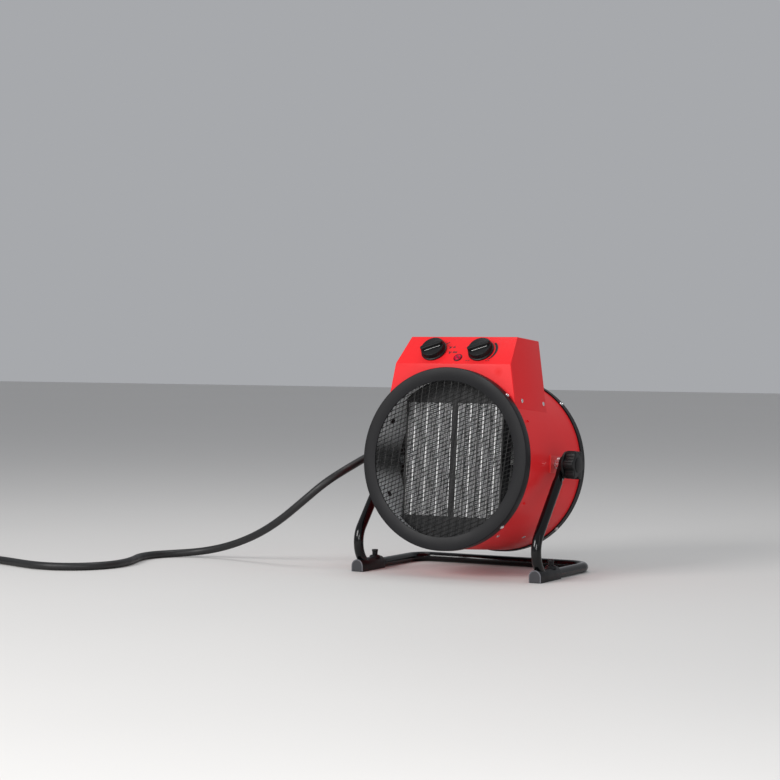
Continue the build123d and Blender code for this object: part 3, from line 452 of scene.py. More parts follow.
def lit_foot_face(colours):
    """Charcoal face of a foot: painted light, the front of the black moulding made lighter than its sides."""
    return finish("lit_foot_face", (0.026, 0.026, 0.031), 0.5, mottle=(60.0, 0.12), grain=(2200.0, 0.3, 0.00008))


def painted_rim_highlight(colours):
    """Paler rim round a foot's face: a painted highlight along the raised rim."""
    return finish("painted_rim_highlight", (0.13, 0.13, 0.145), 0.3, mottle=(60.0, 0.15), grain=(2200.0, 0.2, 0.00006))


def mesh_coat(colours):
    """Black coat on the mesh's wire."""
    return finish("mesh_coat", (0.006, 0.006, 0.006), 0.42, mottle=(80.0, 0.2), grain=(1500.0, 0.2, 0.00005))


def zinc_plate(colours):
    """Bright zinc plate on screws, nuts and rivets."""
    return finish("zinc_plate", (0.68, 0.69, 0.70), 0.26, metallic=1.0, mottle=(220.0, 0.12), spread=0.08,
                  grain=(1800.0, 0.15, 0.00004))


def liner_steel(colours):
    """Bright rolled sheet with rolling marks, darkened by painted shade in a band level with the elements'
    middle.
    """
    material = finish("liner_steel", (0.95, 0.96, 0.98), 0.36, metallic=0.12, mottle=(40.0, 0.12),
                      spread=0.10, grain=(300.0, 0.2, 0.00006), stretch=(1.0, 1.0, 12.0))
    parted = drum_coordinates(material)
    # Painted shade: the liner's colour falls to a tenth level with the drum's axis, where the elements stand,
    # and comes back to full above and below
    height = add_math(material, "ABSOLUTE", parted.outputs["Z"])
    brightness = add_range(material, height, (0.008, 0.042), (0.10, 1.0))
    multiply_colour(material, brightness)
    return material


def element_metal(colours):
    """Mill-finish aluminium of the elements' plates, every other one bright and the rest darkened to about a
    third.
    """
    material = finish("element_metal", (0.92, 0.92, 0.90), 0.42, metallic=0.35, mottle=(90.0, 0.18),
                      spread=0.12, grain=(900.0, 0.25, 0.00006), stretch=(3.0, 3.0, 0.4))
    parted = drum_coordinates(material)
    side = add_math(material, "ABSOLUTE", parted.outputs["X"])
    inset = add_math(material, "SUBTRACT", side, plates_low.x)
    turn = add_math(material, "PINGPONG", inset, plate_pitch)
    brightness = add_range(material, turn, (0.35 * plate_pitch, 0.65 * plate_pitch), (1.0, 0.30))
    multiply_colour(material, brightness)
    return material


def bare_aluminium(colours):
    """Mill-finish aluminium of the fan's blades."""
    return finish("bare_aluminium", (0.80, 0.80, 0.79), 0.38, metallic=0.9, mottle=(90.0, 0.1), spread=0.1)


def fin_metal(colours):
    """Thin folded aluminium, greyer than the plates."""
    return finish("fin_metal", (0.58, 0.58, 0.59), 0.50, metallic=0.30, mottle=(140.0, 0.22), spread=0.12,
                  grain=(1200.0, 0.3, 0.00008))


def baffle_coat(colours):
    """Heat-proof matt black on the baffles and the elements' frame."""
    return finish("baffle_coat", (0.008, 0.008, 0.009), 0.6, mottle=(40.0, 0.2), spread=0.08,
                  grain=(1000.0, 0.3, 0.00010))


def motor_coat(colours):
    """Dark enamel on the motor's can."""
    return finish("motor_coat", (0.03, 0.032, 0.035), 0.4, metallic=0.3, mottle=(50.0, 0.15))


def pale_moulding(colours):
    """Off-white heat-proof moulding of the switch, thermostat and terminals."""
    return finish("pale_moulding", (0.66, 0.63, 0.56), 0.38, mottle=(45.0, 0.05),
                  grain=(1300.0, 0.2, 0.00006))


def copper(colours):
    """Drawn copper tube, a little dulled."""
    return finish("copper", (0.72, 0.36, 0.22), 0.3, metallic=1.0, mottle=(120.0, 0.15), spread=0.08)


def brass_pin(colours):
    """Nickel-plated brass contact pins."""
    return finish("brass_pin", (0.74, 0.66, 0.48), 0.24, metallic=1.0, mottle=(150.0, 0.10), spread=0.06)


def rubber(colours):
    """Matt black rubber sheath, with a faint bloom."""
    return finish("rubber", colours.rubber, 0.5, mottle=(70.0, 0.25), spread=0.07,
                  grain=(650.0, 0.35, 0.00016))


def lamp_glass(colours):
    """Clear red moulded lens."""
    return finish("lamp_glass", colours.lamp, 0.24, mottle=(300.0, 0.12), spread=0.03,
                  grain=(700.0, 0.25, 0.00010), Specular_IOR_Level=0.12)


def plug_red(colours):
    """Glossy red moulding."""
    return finish("plug_red", colours.plug, 0.3, mottle=(35.0, 0.05),
                  grain=(1400.0, 0.2, 0.00005), Coat_Weight=0.2)


def plug_grey(colours):
    """Satin grey moulding."""
    return finish("plug_grey", colours.nut, 0.42, mottle=(40.0, 0.06), grain=(1800.0, 0.25, 0.00006))


def black_ink(colours):
    """Screen-printed black ink."""
    return finish("black_ink", (0.010, 0.010, 0.011), 0.5, mottle=(500.0, 0.3), grain=(2500.0, 0.3, 0.00003))


def white_ink(colours):
    """White paint in a knob's pointer groove."""
    return finish("white_ink", (0.78, 0.78, 0.76), 0.45, mottle=(400.0, 0.08), grain=(2500.0, 0.3, 0.00003))


def floor_paint(colours):
    """Plain pale floor, a little uneven."""
    return finish("floor_paint", colours.floor, 0.62, mottle=(1.2, 0.012), grain=(240.0, 0.05, 0.0002))


finish_makers = (
    red_paint, drum_paint, screw_paint, box_paint, ring_coat, stand_coat, black_plastic,
    lit_foot_face, painted_rim_highlight, mesh_coat, zinc_plate, liner_steel, element_metal, bare_aluminium,
    fin_metal, baffle_coat, motor_coat, pale_moulding, copper, brass_pin, rubber, lamp_glass,
    plug_red, plug_grey, black_ink, white_ink, floor_paint,
)


def coat(name):
    """The finish of that name, made the first time that it is asked for."""
    if name not in bpy.data.materials:
        maker = next(maker for maker in finish_makers if maker.__name__ == name)
        maker(bpy.context.scene.heater_colours)
    return bpy.data.materials[name]


# ---- Shaping -------------------------------------------------------------------------------------
def turn_outline(shape, outline, steps=48, closed=True):
    """Spins an outline of (radius, height) points a full turn about Z.

    An open outline starts and ends at radius 0.
    """
    corners = [shape.verts.new((radius, 0, height)) for radius, height in outline]
    pairs = list(zip(corners, corners[1:]))
    if closed:
        pairs.append((corners[-1], corners[0]))
    sides = [shape.edges.new(pair) for pair in pairs]
    bmesh.ops.spin(
        shape, geom=corners + sides, cent=(0, 0, 0), axis=(0, 0, 1), angle=math.tau, steps=steps,
        use_merge=True,
    )
    bmesh.ops.remove_doubles(shape, verts=shape.verts, dist=1e-7)
    bmesh.ops.recalc_face_normals(shape, faces=shape.faces)


def extrude_outline(shape, outline, low, high):
    """A prism along Z over an outline of (x, y) points."""
    base = shape.faces.new([shape.verts.new((x, y, low)) for x, y in outline])
    made = bmesh.ops.extrude_face_region(shape, geom=[base])["geom"]
    top = [item for item in made if isinstance(item, bmesh.types.BMVert)]
    bmesh.ops.translate(shape, vec=(0, 0, high - low), verts=top)
    bmesh.ops.recalc_face_normals(shape, faces=shape.faces)


def round_edges(shape, width, segments=3, angle=30.0, chosen=None):
    """Rounds the edges that turn by more than an angle, or only the chosen ones."""
    sharp = [
        edge for edge in (chosen if chosen is not None else shape.edges)
        if len(edge.link_faces) == 2 and edge.calc_face_angle(0) > math.radians(angle)
    ]
    bmesh.ops.bevel(
        shape, geom=sharp, offset=width, offset_type="OFFSET", segments=segments, profile=0.5, affect="EDGES",
        material=-1, clamp_overlap=True,
    )


def add_block(shape, size, centre, turn=0.0, edge=0.0):
    """A block of that size about a centre, turned about Z, with its edges rounded."""
    block = bmesh.new()
    bmesh.ops.create_cube(block, size=1.0)
    bmesh.ops.scale(block, vec=size, verts=block.verts)
    if edge:
        round_edges(block, edge, 2)
    place = Matrix.Translation(centre) @ Matrix.Rotation(turn, 4, "Z")
    bmesh.ops.transform(block, matrix=place, verts=block.verts)
    join_shape(shape, block)


def join_shape(shape, other, place=None):
    """Adds another shape to this one, moved by a matrix, and frees it."""
    if place is not None:
        bmesh.ops.transform(other, matrix=place, verts=other.verts)
    mesh = bpy.data.meshes.new("joined")
    other.to_mesh(mesh)
    other.free()
    shape.from_mesh(mesh)
    bpy.data.meshes.remove(mesh)


def slot_outline(length_along, width, steps=8):
    """Points round a slot with round ends, along X."""
    radius, reach = width / 2, (length_along - width) / 2
    points = []
    for side in (1, -1):
        for step in range(steps + 1):
            angle = math.pi * (step / steps - 0.5) + (0 if side > 0 else math.pi)
            points.append((side * reach + radius * math.cos(angle), radius * math.sin(angle)))
    return points


def piece(name, shape, finish_name, body, place=None, nodes=(), smooth=32.0):
    """Makes a finished piece of a shape: put in place, smoothed, coated, and riding on its body."""
    if place is not None:
        bmesh.ops.transform(shape, matrix=place, verts=shape.verts)
    mesh = bpy.data.meshes.new(name)
    shape.to_mesh(mesh)
    shape.free()
    return mesh_piece(name, mesh, finish_name, body, nodes, smooth)


def mesh_piece(name, mesh, finish_name, body, nodes=(), smooth=32.0):
    """Makes a finished piece of a mesh that is already in place."""
    mesh.polygons.foreach_set("use_smooth", [True] * len(mesh.polygons))
    mesh.set_sharp_from_angle(angle=math.radians(smooth))
    mesh.materials.clear()
    mesh.materials.append(coat(finish_name))
    made = bpy.data.objects.new(name, mesh)
    bpy.context.scene.collection.objects.link(made)
    if body:
        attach(made, body)
    if nodes:
        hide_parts(*nodes)
    return made


def line_mesh(name, runs, radius=0.0, resolution=1, kind="POLY"):
    """A mesh of round wires along runs of points, or of their lines alone where the radius is 0."""
    curve = bpy.data.curves.new(name, "CURVE")
    curve.dimensions = "3D"
    curve.bevel_depth = radius
    curve.bevel_resolution = resolution
    curve.resolution_u = 8
    curve.use_fill_caps = radius > 0
    for points in runs:
        spline = curve.splines.new(kind)
        spline.points.add(len(points) - 1)
        for control, point in zip(spline.points, points):
            control.co = (*point, 1)
        if kind == "NURBS":
            spline.order_u = 3
            spline.use_endpoint_u = True
    holder = bpy.data.objects.new(name, curve)
    bpy.context.scene.collection.objects.link(holder)
    bpy.context.view_layer.update()
    mesh = bpy.data.meshes.new_from_object(holder)
    bpy.data.objects.remove(holder)
    bpy.data.curves.remove(curve)
    return mesh


def paint_nodes(finish_name, *nodes):
    """Gives CAD nodes that keep their shape a finish of their own."""
    for node in nodes:
        made = frame["nodes"][node]
        made.data.materials.clear()
        made.data.materials.append(coat(finish_name))


def ring_of(count, start=0.0):
    """Angles spaced evenly round a turn, in radians."""
    return [math.tau * index / count + start for index in range(count)]


def radial_place(angle, depth, radius):
    """A matrix with Z pointing out of the drum at an angle from +X, on a circle of that radius."""
    outward = (across * math.cos(angle) + up * math.sin(angle)).normalized()
    origin = front_centre - forward * depth + outward * radius
    return axes_at(origin, forward.cross(outward), forward, outward)


# ---- Pieces --------------------------------------------------------------------------------------
class HEATER_OT_stage(bpy.types.Operator):
    """Lay the floor, light the stage and set the camera"""

    bl_idname = "heater.stage"
    bl_label = "Stage"

    def execute(self, context):
        floor = bmesh.new()
        bmesh.ops.create_grid(floor, x_segments=2, y_segments=2, size=9.0)
        piece("floor", floor, "floor_paint", None)
        world = bpy.data.worlds.new("studio")
        world.use_nodes = True
        sky = world.node_tree.nodes["Background"]
        sky.inputs["Color"].default_value = (0.86, 0.88, 0.92, 1)
        sky.inputs["Strength"].default_value = 0.45
        context.scene.world = world
        context.scene.view_settings.view_transform = "Standard"
        target = front_centre
        # name, place, width, height, power, tint
        lamps = (
            ("key_light", (-1.1, -2.6, 1.5), 1.4, 1.1, 60.0, (1.0, 0.99, 0.98)),
            ("front_light", (1.25, -2.3, 0.7), 0.7, 0.7, 17.0, (1.0, 1.0, 1.0)),
            ("edge_light", (2.2, -0.5, 1.1), 0.25, 1.4, 2.0, (0.96, 0.98, 1.0)),
            ("top_light", (0.0, 0.3, 2.4), 1.6, 0.8, 15.0, (1.0, 1.0, 1.0)),
        )
        for name, place, width, height, power, tint in lamps:
            light = bpy.data.lights.new(name, "AREA")
            light.shape = "RECTANGLE"
            light.size = width
            light.size_y = height
            light.energy = power
            light.color = tint
            lamp = bpy.data.objects.new(name, light)
            lamp.location = place
            lamp.rotation_euler = (target - Vector(place)).to_track_quat("-Z", "Y").to_euler()
            context.scene.collection.objects.link(lamp)
        camera = bpy.data.cameras.new("camera")
        camera.sensor_width = 36.0
        camera.lens = 101.54
        camera.shift_x = 0.0628
        camera.shift_y = -0.0795
        holder = bpy.data.objects.new("camera", camera)
        holder.location = (1.5502, -2.9978, 0.372)
        view = Vector((-0.5125, 0.8587, 0.0))
        holder.rotation_euler = view.to_track_quat("-Z", "Y").to_euler()
        context.scene.collection.objects.link(holder)
        context.scene.camera = holder
        return {"FINISHED"}


class HEATER_OT_lead(bpy.types.Operator):
    """Run the rubber lead from the strain relief to the plug"""

    bl_idname = "heater.lead"
    bl_label = "Lead"

    def execute(self, context):
        turn = []
        for step in range(coil_steps):
            share = step / (coil_steps - 1)
            angle = math.radians(coil_start_angle + (coil_end_angle - coil_start_angle) * share)
            turn.append(
                (
                    coil_centre[0] + coil_radius * math.cos(angle),
                    coil_centre[1] + coil_radius * math.sin(angle),
                    cord_height,
                )
            )
        route = [*lead_route, *turn, *tail_route]
        line = line_mesh("lead_line", [route], kind="NURBS")
        bpy.data.meshes.remove(line)
        tube = line_mesh("lead", [route], cord_height, 4, "NURBS")
        lead = mesh_piece("lead", tube, "rubber", None)
        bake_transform(lead)
        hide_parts("power_cord_upper", "power_cord_lower", "cord_coil", "power_cord_tail")
        return {"FINISHED"}


class HEATER_OT_gland(bpy.types.Operator):
    """Make the cable gland and the ribbed strain relief"""

    bl_idname = "heater.gland"
    bl_label = "Gland and strain relief"

    def execute(self, context):
        low, high = drum_span("cable_gland")
        centre_x, centre_z = (low.x + high.x) / 2, (low.z + high.z) / 2
        seat = high.y - 0.008
        place = drum_place @ axes_at(
            Vector((centre_x, seat, centre_z)), Vector((1, 0, 0)), Vector((0, 0, -1)), Vector((0, 1, 0))
        )
        gland = bmesh.new()
        hexagon = [(0.0138 * math.cos(angle), 0.0138 * math.sin(angle)) for angle in ring_of(6, math.pi / 6)]
        extrude_outline(gland, hexagon, 0.0, 0.0072)
        round_edges(gland, 0.0009, 2, 20)
        collar = bmesh.new()
        thread_radius, collar_radius, collar_top = 0.0079, 0.0104, 0.0079
        turn_outline(
            collar,
            [
                (0, -0.012), (thread_radius, -0.012), (thread_radius, 0.006), (collar_radius, 0.0066),
                (collar_radius, collar_top), (0, collar_top),
            ],
            40,
            closed=False,
        )
        join_shape(gland, collar)
        piece("gland_nut", gland, "black_plastic", "heater", place, ["cable_gland"])

        boot = bmesh.new()
        outline = [(0.0, 0.0078)]
        boot_start, boot_length, ribs = 0.0080, 0.0400, 9
        for rib in range(ribs):
            share = rib / ribs
            radius = 0.0094 - 0.0026 * share
            start = boot_start + boot_length * share
            pitch = boot_length / ribs
            outline += [
                (radius, start), (radius - 0.0002, start + 0.62 * pitch),
                (radius - 0.0015, start + 0.70 * pitch), (radius - 0.0016, start + 0.94 * pitch),
            ]
        outline += [(0.0066, boot_start + boot_length), (0.0, boot_start + boot_length)]
        turn_outline(boot, outline, 36, closed=False)
        round_edges(boot, 0.00025, 2, 25)
        piece("strain_relief_boot", boot, "rubber", "heater", place, ["strain_relief"])
        return {"FINISHED"}


class HEATER_OT_plug(bpy.types.Operator):
    """Make the round plug: a ribbed nut, a shell with grips round its sleeve, and its pins"""

    bl_idname = "heater.plug"
    bl_label = "Plug"

    def execute(self, context):
        low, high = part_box("plug_nut")
        centre = Vector((high.x, (low.y + high.y) / 2, (low.z + high.z) / 2))
        place = axes_at(centre, Vector((0, 1, 0)), Vector((0, 0, -1)), Vector((-1, 0, 0)))
        nut_length = high.x - low.x
        nut_radius = 0.0148
        nut = bmesh.new()
        turn_outline(
            nut,
            [
                (0, 0), (0.0105, 0), (0.0128, 0.0022), (0.0132, 0.006), (0.0146, 0.0068),
                (nut_radius, nut_length), (0, nut_length),
            ],
            48,
            closed=False,
        )
        round_edges(nut, 0.0006, 2, 25)
        for angle in ring_of(16):
            add_block(
                nut, (0.0026, 0.0022, nut_length - 0.0085),
                (nut_radius * math.cos(angle), nut_radius * math.sin(angle), (nut_length + 0.0075) / 2),
                angle, 0.0005,
            )
        piece("plug_nut_ribbed", nut, "plug_grey", "stand", place, ["plug_nut"])

        shell_low, shell_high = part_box("plug_housing")
        radius = (shell_high.z - shell_low.z) / 2
        end = nut_length + shell_high.x - shell_low.x
        body, band, bore = radius - 0.0012, radius - 0.0002, radius - 0.0030
        shell = bmesh.new()
        turn_outline(
            shell,
            [
                (0, nut_length + 0.0003), (0.0185, nut_length + 0.0003), (0.0190, nut_length + 0.004),
                (radius - 0.0025, nut_length + 0.022), (body, nut_length + 0.030), (body, end - 0.050),
                (band, end - 0.048), (band, end - 0.042), (body, end - 0.040), (body, end - 0.0045),
                (band, end - 0.0040), (band, end), (bore, end), (bore, end - 0.044), (0, end - 0.044),
            ],
            72,
            closed=False,
        )
        round_edges(shell, 0.0006, 2, 25)
        grip_radius = radius - 0.0013
        for angle in ring_of(20):
            add_block(
                shell, (0.0020, 0.0032, 0.024),
                (grip_radius * math.cos(angle), grip_radius * math.sin(angle), nut_length + 0.041),
                angle, 0.0005,
            )
        piece("plug_shell", shell, "plug_red", "stand", place, ["plug_housing"])
        paint_nodes("brass_pin", "plug_pins")
        return {"FINISHED"}


class HEATER_OT_front_ring(bpy.types.Operator):
    """Turn the front ring with its rolled outer edge"""

    bl_idname = "heater.front_ring"
    bl_label = "Front ring"

    def execute(self, context):
        sizes = context.scene.heater_sizes
        face_width = 0.0203
        inner = ring_radius - face_width
        wall = 0.003
        lip = 0.0022
        ring = bmesh.new()
        turn_outline(
            ring,
            [
                (inner, 0), (ring_radius, 0), (ring_radius, -ring_high.y), (ring_radius - wall, -ring_high.y),
                (ring_radius - wall, -wall), (inner + lip, -wall), (inner, -wall + 0.0006),
            ],
            sizes.turning_steps,
        )
        outer = [edge for edge in ring.edges if all(
            math.hypot(vertex.co.x, vertex.co.y) > ring_radius - 1e-5 and vertex.co.z > -1e-5
            for vertex in edge.verts)]
        round_edges(ring, sizes.ring_edge, 5, 30, outer)
        round_edges(ring, 0.0005, 2, 35)
        place = axes_at(front_centre, up.cross(forward), up, forward)
        piece("ring_front", ring, "ring_coat", "heater", place, ["front_ring"], 40.0)
        return {"FINISHED"}


class HEATER_OT_mesh(bpy.types.Operator):
    """Weave the front mesh from rising strands and steep ones, which dip over and under each other"""

    bl_idname = "heater.mesh"
    bl_label = "Front mesh"

    def execute(self, context):
        sizes = context.scene.heater_sizes
        low, high = drum_span("front_grille")
        reach = ring_radius - 0.0165
        depth = (low.y + high.y) / 2
        spacing = sizes.mesh_spacing
        count = int(reach / spacing)
        # Where one strand crosses its neighbours, counted along it
        step = spacing / math.sin(sizes.mesh_steep - sizes.mesh_rise)
        mesh = bmesh.new()
        for angle, thickness, side in (
            (sizes.mesh_rise, sizes.mesh_strand, 1),
            (sizes.mesh_steep, sizes.mesh_post, -1),
        ):
            along = Vector((math.cos(angle), math.sin(angle)))
            aside = Vector((-math.sin(angle), math.cos(angle)))
            runs = []
            for index in range(-count, count + 1):
                offset = index * spacing
                half = math.sqrt(max(0.0, reach**2 - offset**2))
                crossings = int(2 * half / step)
                if crossings < 2:
                    continue
                points = []
                for crossing in range(crossings + 1):
                    run = -half + 2 * half * crossing / crossings
                    lift = side * (1 if (crossing + index) % 2 else -1) * 0.0002
                    place = along * run + aside * offset
                    points.append(drum_place @ Vector((place.x, depth + lift, place.y)))
                runs.append(points)
            strands = line_mesh("strands", runs, thickness / 2, 0)
            mesh.from_mesh(strands)
            bpy.data.meshes.remove(strands)
        piece("front_mesh", mesh, "mesh_coat", "heater", None, ["front_grille"], 80.0)
        return {"FINISHED"}


class HEATER_OT_elements(bpy.types.Operator):
    """Fold the thin fins between the elements' plates"""

    bl_idname = "heater.elements"
    bl_label = "Element fins"

    def execute(self, context):
        sizes = context.scene.heater_sizes
        low_z, high_z = plates_low.z + 0.0002, plates_high.z - 0.0002
        folds = int((high_z - low_z) / (sizes.fin_pitch / 2))
        front, back = plates_low.y + 0.0012, plates_high.y - 0.0012
        for side, name in ((-1, "left"), (1, "right")):
            fins = bmesh.new()
            for channel in range(channels):
                middle = side * (plates_low.x + plate_thickness / 2 + (channel + 0.5) * plate_pitch)
                reach = (plate_pitch - plate_thickness) / 2 - 0.0001
                slip = 0.0004 * math.sin(channel * 2.3 + side)
                corners = [
                    fins.verts.new(
                        (middle + (reach if fold % 2 else -reach), front + slip,
                         low_z + (high_z - low_z) * fold / folds)
                    )
                    for fold in range(folds + 1)
                ]
                edges = [fins.edges.new(pair) for pair in zip(corners, corners[1:])]
                grown = bmesh.ops.extrude_edge_only(fins, edges=edges)["geom"]
                moved = [item for item in grown if isinstance(item, bmesh.types.BMVert)]
                bmesh.ops.translate(fins, vec=(0, back - front, 0), verts=moved)
            bmesh.ops.recalc_face_normals(fins, faces=fins.faces)
            bmesh.ops.solidify(fins, geom=fins.faces[:], thickness=sizes.fin_thickness)
            piece(f"{name}_fins", fins, "fin_metal", "heater", drum_place, [f"{name}_element_fins"], 20.0)
        return {"FINISHED"}


class HEATER_OT_control_box(bpy.types.Operator):
    """Bend the control box's hood from sheet, on the drum's curve"""

    bl_idname = "heater.control_box"
    bl_label = "Control box"

    def execute(self, context):
        sizes = context.scene.heater_sizes
        steps = 40
        first, last = seam_angle, math.pi - seam_angle
        arc = [first + (last - first) * step / steps for step in range(steps + 1)]
        outline = [(drum_radius * math.cos(angle), drum_radius * math.sin(angle)) for angle in arc]
        outline += [(-half_width(box_top), box_top), (half_width(box_top), box_top)]
        hood = bmesh.new()
        # Drawn flat with its height along Y, then stood up so that the prism runs back along the drum
        extrude_outline(hood, outline, 0.0, box_back - box_front)
        stand_up = Matrix(((1, 0, 0, 0), (0, 0, 1, box_front), (0, 1, 0, 0), (0, 0, 0, 1)))
        bmesh.ops.transform(hood, matrix=stand_up, verts=hood.verts)
        cut = bmesh.ops.bisect_plane(
            hood, geom=hood.verts[:] + hood.edges[:] + hood.faces[:], plane_co=(0, box_front, crease_height),
            plane_no=to_drum.to_3x3() @ panel_normal, clear_outer=True,
        )
        rim = [item for item in cut["geom_cut"] if isinstance(item, bmesh.types.BMEdge)]
        bmesh.ops.contextual_create(hood, geom=rim)
        bmesh.ops.recalc_face_normals(hood, faces=hood.faces)
        bends = []
        for edge in hood.edges:
            heights = [math.hypot(vertex.co.x, vertex.co.z) for vertex in edge.verts]
            if min(heights) > drum_radius + 1e-4 or max(heights) > drum_radius + 0.004:
                bends.append(edge)
        round_edges(hood, sizes.box_bend, 4, 20, bends)
        under = [
            face for face in hood.faces
            if all(abs(math.hypot(vertex.co.x, vertex.co.z) - drum_radius) < 1e-4 for vertex in face.verts)
        ]
        bmesh.ops.delete(hood, geom=under, context="FACES")
        piece("box_hood", hood, "box_paint", "heater", drum_place, ["control_box"], 25.0)
        return {"FINISHED"}


class HEATER_OT_panel_knobs(bpy.types.Operator):
    """Mould the selector and thermostat knobs, each with a grip bar and a white pointer"""

    bl_idname = "heater.panel_knobs"
    bl_label = "Panel knobs"

    def execute(self, context):
        grip_angle = math.radians(25)
        for name in ("selector", "thermostat"):
            knob = bmesh.new()
            turn_outline(
                knob,
                [
                    (0, 0.0004), (0.0203, 0.0004), (0.0205, 0.0026), (0.0188, 0.0034),
                    (0.0180, 0.0108), (0, 0.0112),
                ],
                64, closed=False,
            )
            round_edges(knob, 0.0006, 3, 25)
            for angle in ring_of(40):
                add_block(
                    knob, (0.0009, 0.0010, 0.0062),
                    (0.0183 * math.cos(angle), 0.0183 * math.sin(angle), 0.0066), angle, 0.0002,
                )
            grip = bmesh.new()
            extrude_outline(grip, slot_outline(0.0372, 0.0092), 0.0034, 0.0160)
            for vertex in grip.verts:
                if vertex.co.z > 0.010:
                    vertex.co.y *= 0.74
                    vertex.co.x *= 0.965
            round_edges(grip, 0.0011, 3, 35)
            join_shape(knob, grip, Matrix.Rotation(grip_angle, 4, "Z"))
            node = f"{name}_knob"
            piece(f"{name}_grip_knob", knob, "black_plastic", name, knob_places[name], [node])
            pointer = bmesh.new()
            add_block(pointer, (0.0250, 0.0005, 0.0004), (0.0, -0.0046, 0.01105), 0.0, 0.0001)
            turned = knob_places[name] @ Matrix.Rotation(grip_angle, 4, "Z")
            piece(f"{name}_pointer", pointer, "white_ink", name, turned)
        return {"FINISHED"}


class HEATER_OT_panel_marks(bpy.types.Operator):
    """Print the generic marks on the sloped panel"""

    bl_idname = "heater.panel_marks"
    bl_label = "Panel marks"

    def execute(self, context):
        marks = bmesh.new()
        ink = 0.0001

        def bar(x, y, size_x, size_y, turn=0.0):
            add_block(marks, (size_x, size_y, ink), (x, y, ink / 2), math.radians(turn))

        # Selector: an off tick, a fan with one wave, and a fan with two
        bar(-0.0222, 0.0415, 0.0070, 0.0014, 40)
        for row_x, row_y, waves in ((-0.0150, 0.0329, 1), (-0.0125, 0.0225, 2)):
            for blade in ring_of(3, 0.4):
                bar(row_x + 0.0014 * math.cos(blade), row_y + 0.0014 * math.sin(blade), 0.0030, 0.0017,
                    math.degrees(blade))
            for wave in range(waves):
                bar(row_x + 0.0066 + 0.0038 * wave, row_y, 0.0034, 0.0018, 12)
                bar(row_x + 0.0066 + 0.0038 * wave, row_y + 0.0021, 0.0034, 0.0008, 12)
        # Thermostat: a scale that widens clockwise, with a mark at each end
        for step in range(22):
            share = step / 21
            angle = math.radians(42 - 86 * share)
            width = 0.0014 + 0.0026 * math.sin(math.pi * min(1.0, share * 0.8 + 0.2))
            radius = 0.0226 + width / 2
            bar(0.040 + radius * math.cos(angle), knob_rise + radius * math.sin(angle), width, 0.0021,
                math.degrees(angle))
        for x in (0.0233, 0.0567):
            bar(x - 0.0020, 0.0064, 0.0030, 0.0010)
            bar(x + 0.0018, 0.0064, 0.0024, 0.0010)
        piece("panel_marks", marks, "black_ink", "heater", panel_place)

        lens = bmesh.new()
        lens_radius = 0.0056
        turn_outline(
            lens,
            [
                (0, -0.004), (lens_radius, -0.004), (lens_radius, 0.0012), (0.0046, 0.0020),
                (0.0025, 0.0025), (0, 0.0026),
            ],
            36,
            closed=False,
        )
        round_edges(lens, 0.0003, 2, 25)
        lamp_place = panel_place @ Matrix.Translation((0.005, 0.012, 0))
        piece("lamp_cap", lens, "lamp_glass", "heater", lamp_place, ["lamp_lens"])
        slash = bmesh.new()
        add_block(slash, (0.0086, 0.0013, 0.0004), (0, 0, 0.00245), math.radians(-45), 0.0001)
        piece("lamp_slash", slash, "black_ink", "heater", lamp_place)
        rim = bmesh.new()
        turn_outline(
            rim,
            [
                (lens_radius, -0.0005), (0.0069, 0.0), (0.0067, 0.0009), (0.0060, 0.0013),
                (0.0057, 0.0010),
            ],
            36,
        )
        piece("lamp_rim", rim, "black_plastic", "heater", lamp_place, ["lamp_bezel"])
        return {"FINISHED"}


def screw_head(radius, height, recess=True):
    """A domed pan head about the origin, with a cross recess."""
    head = bmesh.new()
    rings = 7
    outline = [(0.0, height)]
    for ring in range(1, rings + 1):
        share = ring / rings
        outline.append((radius * share, height * (1 - 0.75 * share**3)))
    outline += [(radius, 0.0), (0.0, 0.0)]
    turn_outline(head, outline, 32, closed=False)
    if recess:
        arm, reach, depth = radius * 0.17, radius * 0.62, height * 0.55
        for vertex in head.verts:
            x, y = abs(vertex.co.x), abs(vertex.co.y)
            if vertex.co.z > height * 0.5 and min(x, y) < arm and max(x, y) < reach:
                vertex.co.z -= depth
    return head


class HEATER_OT_fasteners(bpy.types.Operator):
    """Set the pan-head screws and domed rivets"""

    bl_idname = "heater.fasteners"
    bl_label = "Screws and rivets"

    def execute(self, context):
        rear_radius = drum_span("rear_ring")[1].x
        rear_depth = drum_span("rear_ring_screws")
        corners = (45, 135, 225, 315)
        rows = (
            ("front_ring_heads", "front_ring_screws", ring_radius, 0.0107, corners, 0.0034, 0.0020),
            ("rear_ring_heads", "rear_ring_screws", rear_radius,
             (rear_depth[0].y + rear_depth[1].y) / 2, corners, 0.0034, 0.0020),
            ("drum_rivet_heads", "drum_rivets", drum_radius, None, (-56, -124), 0.0030, 0.0013),
        )
        for name, node, radius, depth, angles, head_radius, head_height in rows:
            heads = bmesh.new()
            for angle in angles:
                for head_depth in ((depth,) if depth else (0.043, 0.130)):
                    place = radial_place(math.radians(angle), head_depth, radius - 0.0001)
                    join_shape(heads, screw_head(head_radius, head_height, depth is not None), place)
            piece(name, heads, "zinc_plate", "heater", None, [node], 40.0)

        heads = bmesh.new()
        for side in (-1, 1):
            outward = (across * side * math.cos(side_lean) + up * math.sin(side_lean)).normalized()
            for depth in (0.041, 0.114):
                height = drum_radius * math.sin(seam_angle) + 0.0127
                origin = drum_place @ Vector((side * half_width(height), depth, height))
                place = axes_at(origin, forward.cross(outward), forward, outward)
                join_shape(heads, screw_head(0.0032, 0.0014, False), place)
        piece("hood_rivet_heads", heads, "zinc_plate", "heater", None, ["hood_rivets"], 40.0)
        return {"FINISHED"}


